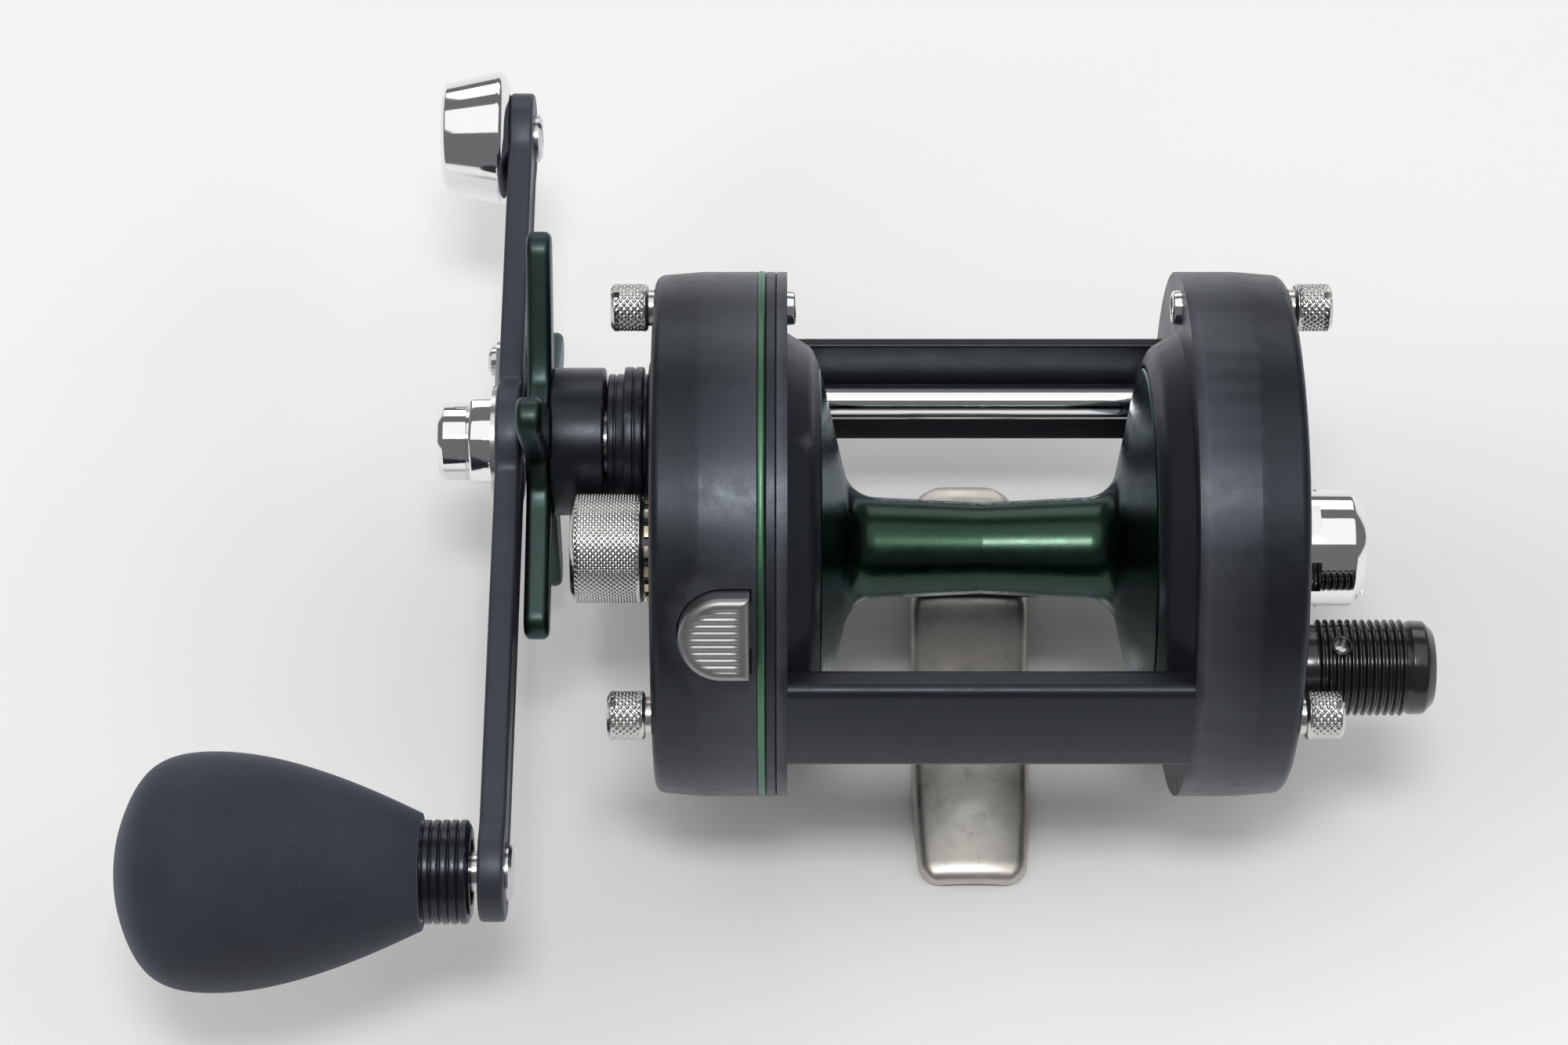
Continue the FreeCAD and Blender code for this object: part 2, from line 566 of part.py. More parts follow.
def tension_click_ring():
    """The brass crown on the cover that the tension cap clicks over."""
    ring = tube("click_ring_blank", SPOOL, "-tension_start + 0.3", "-gear_cover_face", "thread_radius",
                "thread_radius + 0.9")
    notch = block("click_ring_notch", ("-tension_start", "-tension_start + 0.9"),
                  ("-spool_back - 8", "-spool_back + 8"), ("axle_height - 0.6", "axle_height + 0.6"))
    notches = []
    count = 8
    for index in range(count):
        copy = doc.addObject("Part::Feature", f"click_ring_notch_{index}")
        doc.recompute()
        shape = notch.Shape.copy()
        shape.rotate(V(0, value("-spool_back"), value("axle_height")), V(1, 0, 0), index * 180 / count)
        copy.Shape = shape
        notches.append(copy)
    return cut("tension_click_ring", ring, *notches)


def palm_cap():
    """The polished bearing cap on the palm side, with two wrench slots across its end."""
    cap = turned("palm_cap_body", SPOOL, [
        ("palm_cover_face", "palm_thread"), ("palm_cover_face", "cap_radius - 0.4"),
        ("palm_cover_face + 0.4", "cap_radius"), ("cap_end - 1.6", "cap_radius"),
        ("cap_end", "cap_radius - 1.6"), ("cap_end", "0"), ("cap_end - 2.2", "0"),
        ("cap_end - 2.2", "palm_thread")])
    slot = block("palm_cap_slot", ("cap_end - 1.2", "cap_end + 1"), ("-spool_back - 9", "-spool_back + 9"),
                 ("axle_height - 0.7", "axle_height + 0.7"))
    return cut("palm_cap", cap, slot)


# ---------------------------------------------------------------- drive train

def shaft_housing():
    """The stepped black housing around the drive shaft, outside the cover."""
    return turned("shaft_housing", CRANK, [
        ("-gear_cover_face + wall", "6.0"), ("-gear_cover_face + wall", "6.6"), ("-gear_cover_face", "6.6"),
        ("-gear_cover_face", "housing_boss"), ("-gear_cover_face - 1.2", "housing_boss"),
        ("-gear_cover_face - 1.4", "housing_neck"), ("-gear_cover_face - 1.9", "housing_neck"),
        ("-gear_cover_face - 1.9", "housing_ring"), ("-gear_cover_face - 4.4", "housing_ring"),
        ("-gear_cover_face - 4.4", "housing_neck"), ("-gear_cover_face - 6.5", "housing_neck"),
        ("-gear_cover_face - 6.5", "6.0")])


def shaft_bush():
    """The brass bush in the bridge plate for the drive shaft's inner end."""
    return tube("shaft_bush", CRANK, "-bridge_face", "-ring_face - ring_thick", "2.2 + running", "3.6")


def drive_shaft():
    """The drive shaft: a journal, a flange that carries the ratchet and gear, and the handle's thread."""
    return turned("drive_shaft", CRANK, [
        ("-66.3", "0"), ("-66.3", "drive_radius - 0.4"), ("-65.9", "drive_radius"),
        ("-ratchet_face - ratchet_thick - 1.3", "drive_radius"), ("-ratchet_face - ratchet_thick - 1.3", "8"),
        ("-ratchet_face - ratchet_thick", "8"), ("-ratchet_face - ratchet_thick", "drive_radius"),
        ("-bridge_face - 0.5", "drive_radius"), ("-bridge_face - 0.5", "2.2"),
        ("-ring_face - ring_thick - 0.2", "2.2"), ("-ring_face - ring_thick - 0.2", "0")])


def ratchet_wheel():
    """The saw-toothed wheel that the anti-reverse dog stops."""
    teeth = int(value("ratchet_teeth"))
    tip = value("ratchet_radius")
    root = tip - 1.5
    corners = []
    for tooth in range(teeth):
        start = 2 * math.pi * tooth / teeth
        corners.append(V(0, tip * math.cos(start), tip * math.sin(start)))
        corners.append(V(0, root * math.cos(start), root * math.sin(start)))
    outline = Part.makePolygon(corners + corners[:1])
    wheel = Part.Face(outline).extrude(V(value("-ratchet_thick"), 0, 0))
    hole = Part.makeCylinder(value("drive_radius"), 8, V(-4, 0, 0), V(1, 0, 0))
    return computed("ratchet_wheel", wheel.cut(hole), CRANK, "-ratchet_face")


def involute(base_radius, radius):
    """The angle that an involute has turned through where it reaches that radius."""
    slope = math.sqrt(max((radius / base_radius) ** 2 - 1, 0))
    return slope - math.atan(slope)


def toothed_disc(teeth, addendum, dedendum, first_angle, thick):
    """A spur gear about the X axis, with its first tooth's middle at first_angle."""
    module = value("gear_module")
    pitch = teeth * module / 2
    base = pitch * math.cos(math.radians(20))
    tip, root = pitch + addendum, pitch - dedendum
    backlash = 0.06
    half_tooth = math.pi / (2 * teeth) - backlash / (2 * pitch) + involute(base, pitch)
    flank_start = max(base, root)
    radii = [flank_start + (tip - flank_start) * step / 4 for step in range(5)]
    edges, ends = [], []

    def spot(radius, angle):
        return V(0, radius * math.cos(angle), radius * math.sin(angle))

    for tooth in range(teeth):
        middle = first_angle + 2 * math.pi * tooth / teeth
        rising = [spot(radius, middle - half_tooth + involute(base, radius)) for radius in radii]
        falling = [spot(radius, middle + half_tooth - involute(base, radius)) for radius in reversed(radii)]
        foot_in = spot(root, middle - half_tooth + involute(base, flank_start))
        foot_out = spot(root, middle + half_tooth - involute(base, flank_start))
        ends.append((foot_in, foot_out))
        if root < base - 1e-6:
            edges.append(Part.makeLine(foot_in, rising[0]))
            edges.append(Part.makeLine(falling[-1], foot_out))
        curve_in, curve_out = Part.BSplineCurve(), Part.BSplineCurve()
        curve_in.interpolate(rising)
        curve_out.interpolate(falling)
        edges += [curve_in.toShape(), Part.makeLine(rising[-1], falling[0]), curve_out.toShape()]
    for tooth in range(teeth):
        edges.append(Part.makeLine(ends[tooth][1], ends[(tooth + 1) % teeth][0]))
    wire = Part.Wire(Part.__sortEdges__(edges))
    return Part.Face(wire).extrude(V(-thick, 0, 0))


def mesh_angle():
    """The direction from the crank's axis to the spool's, in the YZ plane."""
    rise = value("crank_drop")
    run = value("-spool_back - crank_front")
    return math.atan2(rise, run)


def main_gear():
    """The bronze main gear, recessed on its outer side for the drag washers."""
    module = value("gear_module")
    disc = toothed_disc(int(value("gear_teeth")), value("gear_addendum"), 1.2 * module,
                        mesh_angle(), value("gear_thick"))
    recess = Part.makeCylinder(value("drag_recess"), 4, V(-1.2, 0, 0), V(-1, 0, 0))
    hole = Part.makeCylinder(value("drive_radius"), 8, V(-6, 0, 0), V(1, 0, 0))
    return computed("main_gear", disc.cut(recess).cut(hole), CRANK, "-gear_face")


def pinion():
    """The pinion on the spool's shaft, with the yoke's groove and a slotted inner end."""
    teeth = int(value("pinion_teeth"))
    half_pitch = math.pi / teeth
    module = value("gear_module")
    disc = toothed_disc(teeth, module, 1.2 * module, mesh_angle() + math.pi + half_pitch,
                        value("pinion_long"))
    disc.translate(V(value("-pinion_face"), 0, 0))
    neck = Part.makeCylinder(value("pinion_neck"), value("pinion_face - 29"), V(-29, 0, 0), V(-1, 0, 0))
    collar = Part.makeCylinder(3.9, 1.5, V(-29, 0, 0), V(-1, 0, 0))
    body = disc.fuse([neck, collar])
    bore = Part.makeCylinder(value("shaft_radius + running"), 20, V(-45, 0, 0), V(1, 0, 0))
    slot = Part.makeBox(2, 1.4, 12, V(-29.9, -0.7, -6))
    return computed("pinion", body.cut(bore).cut(slot), SPOOL)


def drag_washers():
    """The friction washers: one under the gear and three in its recess."""
    starts = ["gear_face - 1", "gear_face + 1.2", "gear_face + 1.2 + friction_thick + steel_thick",
              "gear_face + 1.2 + 2 * friction_thick + 2 * steel_thick"]
    solids = []
    for number, start in enumerate(starts):
        thick = "1" if number == 0 else "friction_thick"
        solids.append(tube(f"drag_washer_{number}", CRANK, f"-({start} + {thick})", f"-({start})",
                           "drive_radius + 0.2", "drag_radius" if number else "9"))
    return group("drag_washers", *solids)


def drag_plates():
    """The keyed steel washers between the friction washers, and the pressure plate on top."""
    solids = []
    for number in range(3):
        start = f"gear_face + 1.2 + {number + 1} * friction_thick + {number} * steel_thick"
        solids.append(tube(f"drag_plate_{number}", CRANK, f"-({start} + steel_thick)", f"-({start})",
                           "drive_radius", "drag_radius"))
    return group("drag_plates", *solids)


def pressure_sleeve():
    """The sleeve that carries the star's pressure through the cover to the drag washers."""
    inner = "-(gear_face + 1.2 + 3 * friction_thick + 3 * steel_thick)"
    return turned("pressure_sleeve", CRANK, [
        (inner, "drive_radius"), (inner, "5.4"), (inner + " - 0.7", "5.4"),
        (inner + " - 0.7", "sleeve_radius"), ("-star_collar_start - 0.5", "sleeve_radius"),
        ("-star_collar_start - 0.5", "drive_radius")])


def spring_washers():
    """Two dished spring washers, back to back, under the star."""
    face = "-star_collar_start - 0.5"
    solids = []
    for number, (low, high) in enumerate((("0", "0.7"), ("1.4", "0.7"))):
        inner_x, outer_x = f"{face} - {low}", f"{face} - {high}"
        solids.append(turned(f"spring_washer_{number}", CRANK, [
            (inner_x, "drive_radius + 0.2"), (outer_x, "7.2"), (outer_x + " - 0.35", "7.2"),
            (inner_x + " - 0.35", "drive_radius + 0.2")]))
    return group("spring_washers", *solids)


# ---------------------------------------------------------------- star drag

def star_wheel():
    """The star: five rounded arms around a hub."""
    pieces = [rod("star_hub_disc", CRANK, "-star_face - star_thick", "-star_face", "star_hub")]
    for arm in range(int(value("star_arms"))):
        angle = f"(star_angle + {arm} * 360 / star_arms)"
        tip = (f"crank_front + (star_reach - star_arm_half) * cos({angle})",
               f"{CRANK[1]} + (star_reach - star_arm_half) * sin({angle})")
        bar = plate(f"star_arm_{arm}", CRANK, [
            ("5", "-star_arm_half - 0.9"), ("star_reach - star_arm_half", "-star_arm_half"),
            ("star_reach - star_arm_half", "star_arm_half"), ("5", "star_arm_half + 0.9")],
            "-star_face - star_thick", "star_thick")
        swung(bar, f"star_angle + {arm} * 360 / star_arms")
        pieces += [bar, rod(f"star_tip_{arm}", tip, "-star_face - star_thick", "-star_face",
                            "star_arm_half")]
    hole = rod("star_hole", CRANK, "-star_face - 5", "-star_face + 2", "drive_radius + 0.2")

    def rim(edge):
        return edge.BoundBox.XLength < 1e-6 and edge.BoundBox.Center.x < value("-star_face - 3")

    return softened("star_wheel", cut("star_blank", join("star_whole", *pieces), hole), "0.5",
                    lambda edge: rim(edge) and not (isinstance(edge.Curve, Part.Circle)
                                                    and edge.Curve.Radius < 5 and edge.Length > 15))


def star_collar():
    """The black collar behind the star, which hides the spring washers."""
    return turned("star_collar", CRANK, [
        ("-star_collar_start", "8.0"), ("-star_collar_start", "collar_outer - 0.3"),
        ("-star_collar_start - 0.3", "collar_outer"), ("-star_face + 0.3", "collar_outer"),
        ("-star_face", "collar_outer - 0.3"), ("-star_face", "4.6"), ("-star_collar_start - 2.7", "4.6"),
        ("-star_collar_start - 2.7", "8.0")])


def star_nut():
    """The threaded brass insert that the star turns."""
    return tube("star_nut", CRANK, "-star_face", "-star_collar_start - 2.7", "drive_radius + 0.2", "4.6")


# ---------------------------------------------------------------- handle

def handle_arm():
    """The double handle arm: a round hub, two round ends and a narrower bar between them."""
    low, high = "-arm_face - arm_thick", "-arm_face"
    hub = rod("arm_hub", CRANK, low, high, "hub_radius")
    knob_end = rod("arm_knob_end", KNOB, low, high, "arm_end_radius")
    weight_end = rod("arm_weight_end", WEIGHT, low, high, "arm_end_radius")
    bar = block("arm_bar", (low, high), (KNOB[0], WEIGHT[0]),
                (f"{CRANK[1]} - arm_waist / 2", f"{CRANK[1]} + arm_waist / 2"))
    whole = join("arm_whole", hub, knob_end, weight_end, bar)

    def corner(edge):
        """The inside corners where the bar meets the rounds."""
        return along_x(edge) and abs(abs(edge.BoundBox.Center.z - value(CRANK[1])) -
                                     value("arm_waist / 2")) < 0.01

    smooth = softened("arm_smooth", whole, "5", corner)
    holes = [rod("arm_shaft_hole", CRANK, low + " - 1", high + " + 1", "drive_radius"),
             rod("arm_knob_hole", KNOB, low + " - 1", high + " + 1", "spindle_radius"),
             rod("arm_weight_hole", WEIGHT, low + " - 1", high + " + 1", "2"),
             rod("arm_screw_hole", RETAINER, low + " - 1", high + " + 1", "1")]
    doc.recompute()
    faces = (value(low), value(high))

    def face_rim(edge):
        return edge.BoundBox.XLength < 1e-6 and min(abs(edge.BoundBox.Center.x - x) for x in faces) < 1e-3

    return cut("handle_arm", softened("arm_eased", smooth, "0.35", face_rim), *holes)


RETAINER = ("crank_front + 12.4", CRANK[1])


def handle_nut():
    """The handle nut: a hexagon with a polished round barrel over the shaft's end."""
    flats = value("nut_flats")
    corner = flats / math.sqrt(3)
    points = [V(0, corner * math.cos(math.pi * k / 3), corner * math.sin(math.pi * k / 3)) for k in range(7)]
    hexagon = Part.Face(Part.makePolygon(points)).extrude(V(value("-nut_hex_long"), 0, 0))
    hexagon.translate(V(value("-arm_face - arm_thick"), 0, 0))
    dome = Part.makeCone(corner + 2.2, corner - 0.5, 3.0, V(value("-arm_face - arm_thick - 1.0"), 0, 0),
                         V(-1, 0, 0))
    start = Part.makeCylinder(corner + 1, 1.0, V(value("-arm_face - arm_thick"), 0, 0), V(-1, 0, 0))
    hexagon = hexagon.common(dome.fuse(start))
    joint = value("-arm_face - arm_thick - nut_hex_long + 0.3")
    radius = value("nut_barrel")
    length = joint + value("nut_end")
    barrel = Part.makeCylinder(radius, length - 0.6, V(joint, 0, 0), V(-1, 0, 0))
    end = Part.makeCone(radius, radius - 0.6, 0.6, V(value("-nut_end + 0.6"), 0, 0), V(-1, 0, 0))
    bore = Part.makeCylinder(value("drive_radius"), 7.0, V(-60, 0, 0), V(-1, 0, 0))
    return computed("handle_nut", hexagon.fuse([barrel, end]).removeSplitter().cut(bore), CRANK)


def nut_retainer():
    """The thin plate that stops the handle nut from turning."""
    low, high = "-arm_face - arm_thick - 0.6", "-arm_face - arm_thick"
    ring = rod("retainer_ring", CRANK, low, high, "7.2")
    tab = block("retainer_tab", (low, high), ("crank_front + 3", "crank_front + 12.4"),
                (f"{CRANK[1]} - 2.6", f"{CRANK[1]} + 2.6"))
    end = rod("retainer_end", RETAINER, low, high, "2.6")
    return cut("nut_retainer", join("retainer_whole", ring, tab, end),
               rod("retainer_hole", CRANK, low + " - 1", high + " + 1", "nut_flats / 2 + 0.82"),
               rod("retainer_screw_hole", RETAINER, low + " - 1", high + " + 1", "1"))


def retainer_screw():
    """The small screw that holds the retainer."""
    top = "-arm_face - arm_thick - 0.6"
    body = turned("retainer_screw_body", RETAINER, [
        ("-arm_face - 0.3", "0"), ("-arm_face - 0.3", "1"), (top, "1"), (top, "2"),
        (top + " - 0.7", "1.9"), (top + " - 1.1", "1.2"), (top + " - 1.1", "0")])
    slot = block("retainer_screw_slot", (top + " - 2", top + " - 0.6"),
                 ("crank_front + 12.4 - 0.3", "crank_front + 12.4 + 0.3"),
                 (f"{CRANK[1]} - 3", f"{CRANK[1]} + 3"))
    return cut("retainer_screw", body, slot)


def counterweight():
    """The polished tapered counterweight, wide end against the arm."""
    face = "-arm_face - arm_thick"
    body = turned("counterweight_body", WEIGHT, [
        (face, "0"), (face, "weight_large - 2.2"), (face + " - 1.0", "weight_large"),
        ("-weight_end", "weight_small"), ("-weight_end", "0")])
    rounded = softened("counterweight_rounded", body, "0.6", circle_edge("-weight_end", "weight_small"))
    lip = softened("counterweight_lip", rounded, "0.8", circle_edge(face + " - 1.0", "weight_large"))
    return cut("counterweight", lip, rod("counterweight_hole", WEIGHT, "-weight_end + 3", face + " + 1",
                                         "2"))


def counterweight_screw():
    """The slotted screw through the arm into the counterweight."""
    body = turned("counterweight_screw_body", WEIGHT, [
        ("-weight_end + 3", "0"), ("-weight_end + 3", "2"), ("-arm_face", "2"), ("-arm_face", "3.2"),
        ("-arm_face + 0.6", "3.2"), ("-arm_face + 1.0", "2.6"), ("-arm_face + 1.0", "0")])
    slot = block("counterweight_screw_slot", ("-arm_face + 0.5", "-arm_face + 2"),
                 (WEIGHT[0] + " - 0.4", WEIGHT[0] + " + 0.4"), (f"{CRANK[1]} - 4", f"{CRANK[1]} + 4"))
    return cut("counterweight_screw", body, slot)


# ---------------------------------------------------------------- handle knob

def knob_spindle():
    """The spindle that the knob turns on, riveted through the arm, with a head at its far end."""
    return turned("knob_spindle", KNOB, [
        ("-arm_face + 0.8", "0"), ("-arm_face + 0.8", "3.0"), ("-arm_face + 0.4", "3.6"),
        ("-arm_face", "3.6"), ("-arm_face", "spindle_radius"), ("-97.2", "spindle_radius"),
        ("-97.2", "3.3"), ("-98.4", "3.3"), ("-98.4", "0")])


def knob_ferrule():
    """The ribbed collar at the knob's root, in one piece with the core tube inside the grip."""
    ribs = 4
    pitch = (value("ferrule_end") - value("ferrule_start") - 0.9) / ribs
    corners = [("-ferrule_start", "4.1"), ("-ferrule_start", "ferrule_radius - 0.8")]
    for rib in range(ribs):
        start = f"-ferrule_start - {0.3 + rib * pitch:.3f}"
        corners += [(start, "ferrule_radius"), (start + f" - {pitch - 0.35:.3f}", "ferrule_radius"),
                    (start + f" - {pitch - 0.25:.3f}", "ferrule_radius - 0.35"),
                    (start + f" - {pitch - 0.1:.3f}", "ferrule_radius - 0.35")]
    corners += [("-ferrule_end", "ferrule_radius"), ("-ferrule_end", "core_radius"),
                ("-99.5", "core_radius"), ("-99.5", "4.1")]
    return turned("knob_ferrule", KNOB, corners)


def knob_bearings():
    """The two small bearings inside the knob's core."""
    return group("knob_bearings",
                 ball_bearing("knob_bearing_root", KNOB, "-66.4", "2.5", "spindle_radius + 0.05", "4.1"),
                 ball_bearing("knob_bearing_tip", KNOB, "-96.9", "2.5", "spindle_radius + 0.05", "4.1"))


def knob_grip():
    """The foam grip: a pear shape, spun from a spline, over the core tube."""
    root, end = value("-ferrule_end"), value("-knob_end")
    neck, widest = value("knob_neck"), value("knob_radius")
    broad = value("-knob_widest")
    shoulder = root + (broad - root) * 0.56
    curve = Part.BSplineCurve()
    curve.interpolate([V(root, neck, 0), V(shoulder, neck + (widest - neck) * 0.76, 0), V(broad, widest, 0),
                       V(end + 4.6, widest * 0.87, 0), V(end + 1.1, widest * 0.48, 0), V(end, 0, 0)],
                      InitialTangent=V(-1, 0.48, 0), FinalTangent=V(0, -1, 0))
    bore = value("core_radius")
    hollow = -99.5
    lines = [Part.makeLine(V(end, 0, 0), V(hollow, 0, 0)), Part.makeLine(V(hollow, 0, 0), V(hollow, bore, 0)),
             Part.makeLine(V(hollow, bore, 0), V(root, bore, 0)),
             Part.makeLine(V(root, bore, 0), V(root, neck, 0))]
    wire = Part.Wire([curve.toShape()] + lines)
    return computed("knob_grip", Part.Face(wire).revolve(V(0, 0, 0), V(1, 0, 0), 360), KNOB)


# ---------------------------------------------------------------- free-spool button and yoke

POSTS = (("low", "-"), ("high", "+"))


def post_axis(sign):
    """The axis of one of the yoke's two posts."""
    return ("-spool_back", f"axle_height {sign} post_offset")


def button_outline(foot, gap=0):
    """The button's D outline, made larger all round by a gap, as a face at that height along Y."""
    start = -value("button_start") + gap
    half = value("button_across") / 2 + gap
    end = -value("button_start + button_along") - gap
    round_start = end + half
    edges = [Part.makeLine(V(start, foot, half), V(start, foot, -half)),
             Part.makeLine(V(start, foot, -half), V(round_start, foot, -half)),
             Part.Arc(V(round_start, foot, -half), V(end, foot, 0), V(round_start, foot, half)).toShape(),
             Part.makeLine(V(round_start, foot, half), V(start, foot, half))]
    return Part.Face(Part.Wire(edges))


def free_spool_button():
    """The ribbed thumb button, a D with its round side outward, in a slot of the cover's rim."""
    outer = value("plate_radius + button_proud")
    end = -value("button_start + button_along")
    length = value("button_along")
    foot = value("button_foot")
    pad = button_outline(foot).extrude(V(0, outer - foot, 0))
    top = [item for item in pad.Edges if item.BoundBox.YMin > outer - 1e-3]
    pad = pad.makeFillet(0.7, top)
    rib_pitch, depth = 1.1, 0.3
    for rib in range(-4, 5):
        middle = rib * rib_pitch
        notch = [V(end - 2, outer + 0.1, middle - depth - 0.1), V(end - 2, outer - depth, middle),
                 V(end - 2, outer + 0.1, middle + depth + 0.1), V(end - 2, outer + 0.1, middle - depth - 0.1)]
        pad = pad.cut(Part.Face(Part.makePolygon(notch)).extrude(V(length + 4, 0, 0)))
    button = computed("free_spool_button", pad, PLATE)
    return swung(button, "button_angle")


def release_slide():
    """The flat slide from the button inward, with a ramp that lifts the yoke off the spool's pin."""
    near, far = value("-bridge_face - 0.3"), value("-bridge_face - 1.5")
    tip, foot, half = value("slide_tip"), value("button_foot"), value("slide_half")
    under_yoke, lift = value("-yoke_face + 0.1"), value("yoke_lift")
    slope = lift / value("button_travel")
    ramp_foot = value("slide_ramp")
    top = under_yoke - lift - 0.1
    profile = [(near, tip), (far, tip), (far, ramp_foot - (far - under_yoke) / slope),
               (top, ramp_foot + (under_yoke - top) / slope), (top, ramp_foot + 3.6),
               (far, ramp_foot + 5.4), (far, foot), (near, foot), (near, tip)]
    face = Part.Face(Part.makePolygon([V(x, out, -half) for x, out in profile]))
    return swung(computed("release_slide", face.extrude(V(0, 0, 2 * half)), PLATE), "button_angle")


def yoke():
    """The forked plate that lifts the pinion off the spool's pin, on two posts."""
    blank = plate("yoke_blank", SPOOL, [
        ("-yoke_half", "-post_offset - 2.4"), ("yoke_half", "-post_offset - 2.4"),
        ("yoke_half", "post_offset + 2.4"), ("-yoke_half", "post_offset + 2.4")],
        "-yoke_face - yoke_thick", "yoke_thick")
    fork = rod("yoke_fork", SPOOL, "-yoke_face - 3", "-yoke_face + 1", "pinion_neck + 0.25")
    mouth = block("yoke_mouth", ("-yoke_face - 3", "-yoke_face + 1"),
                  ("-spool_back", "-spool_back + yoke_half + 1"),
                  ("axle_height - pinion_neck - 0.25", "axle_height + pinion_neck + 0.25"))
    holes = [rod(f"yoke_hole_{side}", post_axis(sign), "-yoke_face - 3", "-yoke_face + 1",
                 "post_radius + running") for side, sign in POSTS]
    return cut("yoke", softened("yoke_rounded", blank, "1.5", along_x), fork, mouth, *holes)


def yoke_posts():
    """The two headed posts that the yoke slides on."""
    return group("yoke_posts", *[turned(f"yoke_post_{side}", post_axis(sign), [
        ("-ring_face - ring_thick - 0.2", "0"), ("-ring_face - ring_thick - 0.2", "post_radius"),
        ("-post_end", "post_radius"), ("-post_end", "2.0"), ("-post_end - 0.8", "2.0"),
        ("-post_end - 0.8", "0")]) for side, sign in POSTS])


def spring(side, sign):
    """A short compression spring round a post, as turns of wire joined along one side."""
    axis = post_axis(sign)
    first, last = "-yoke_face - yoke_thick - spring_wire", "-post_end + spring_wire"
    turns = []
    for number in range(5):
        turn = doc.addObject("Part::Torus", f"spring_{side}_{number}")
        turn.Placement.Rotation = ALONG_X
        turn.setExpression("Radius1", bound("spring_radius"))
        turn.setExpression("Radius2", bound("spring_wire / 2"))
        turns.append(place(turn, axis, f"{first} + {number} / 4 * ({last} - ({first}))"))
    above = (axis[0], f"{axis[1]} + spring_radius")
    side_wire = rod(f"spring_side_{side}", above, last, first, "spring_wire * 0.35")
    return join(f"yoke_spring_{side}", *turns, side_wire)


def yoke_springs():
    """The two springs that push the yoke back."""
    return group("yoke_springs", *[spring(side, sign) for side, sign in POSTS])


def anti_reverse_dog():
    """The dog that stops the ratchet, shown lifted just clear of the teeth."""
    eye = rod("dog_eye", DOG, "-ratchet_face - 1.4", "-ratchet_face - 0.1", "2.8")
    lever = plate("dog_lever", DOG, [
        ("-2.4", "0"), ("2.2", "0"), ("1.2", "6.5"), ("-0.6", "10.6"), ("-1.7", "10.6")],
        "-ratchet_face - 1.4", "1.3")
    return cut("anti_reverse_dog", join("dog_whole", eye, lever),
               rod("dog_hole", DOG, "-ratchet_face - 2", "-ratchet_face + 1", "dog_post + running"))


def dog_pivot():
    """The shouldered screw that the dog swings on."""
    return turned("dog_pivot", DOG, [
        ("-ring_face - ring_thick - 0.2", "0"), ("-ring_face - ring_thick - 0.2", "dog_post"),
        ("-ratchet_face - 1.6", "dog_post"), ("-ratchet_face - 1.6", "2.4"), ("-ratchet_face - 2.4", "2.4"),
        ("-ratchet_face - 2.4", "0")])


# ---------------------------------------------------------------- magnetic brake

def brake_knob():
    """The ribbed knob that sets the magnetic brake."""
    corners = [("mag_knob_start", "mag_spindle"), ("mag_knob_start", "mag_knob_radius - 0.6"),
               ("mag_knob_start + 2.2", "mag_knob_radius - 0.6")]
    ribs, pitch = 11, 1.0
    for rib in range(ribs):
        start = f"mag_knob_start + {2.4 + rib * pitch:.1f}"
        corners += [(start, "mag_knob_radius"), (start + " + 0.45", "mag_knob_radius"),
                    (start + " + 0.65", "mag_knob_radius - 0.45"),
                    (start + " + 0.8", "mag_knob_radius - 0.45")]
    corners += [("mag_knob_end - 3.2", "mag_knob_radius - 0.1"), ("mag_knob_end - 1.2",
                                                                 "mag_knob_radius - 0.2"),
                ("mag_knob_end", "mag_knob_radius - 1.2"), ("mag_knob_end", "0"),
                ("mag_knob_end - 3", "0"), ("mag_knob_end - 3", "mag_spindle")]
    knob = turned("brake_knob_body", MAG, corners)
    hole = doc.addObject("Part::Cylinder", "brake_knob_hole")
    hole.Radius = 0.9
    hole.Height = 5
    place(hole, (MAG[0], f"{MAG[1]} + mag_spindle"), "mag_knob_start + 5.2")
    return cut("brake_knob", knob, hole)


def brake_grub_screw():
    """The grub screw that locks the brake knob to its spindle."""
    screw = doc.addObject("Part::Cylinder", "brake_grub_screw")
    screw.Radius = 0.9
    screw.Height = 2.8
    return place(screw, (MAG[0], f"{MAG[1]} + mag_spindle"), "mag_knob_start + 5.2")


def brake_spindle():
    """The threaded spindle through the palm cover, which the magnet carrier rides on."""
    return rod("brake_spindle", MAG, "26.6", "mag_knob_end - 3", "mag_spindle")


def magnet_carrier():
    """The steel ring that carries the magnets."""
    ring = tube("carrier_ring", SPOOL, "carrier_face", "carrier_face + carrier_thick", "carrier_inner",
                "carrier_outer")
    return cut("magnet_carrier", ring, rod("carrier_hole", MAG, "carrier_face - 1", "carrier_face + 3",
                                           "mag_spindle + running"))


def magnets():
    """Five disc magnets on the carrier's spool side."""
    discs = []
    for number in range(5):
        angle = f"({number} - 2) * 60"
        axis = (f"-spool_back + magnet_circle * cos({angle})",
                f"axle_height + magnet_circle * sin({angle})")
        discs.append(rod(f"magnet_{number}", axis, "carrier_face - magnet_thick", "carrier_face",
                         "magnet_radius"))
    return group("magnets", *discs)


# ---------------------------------------------------------------- the whole reel

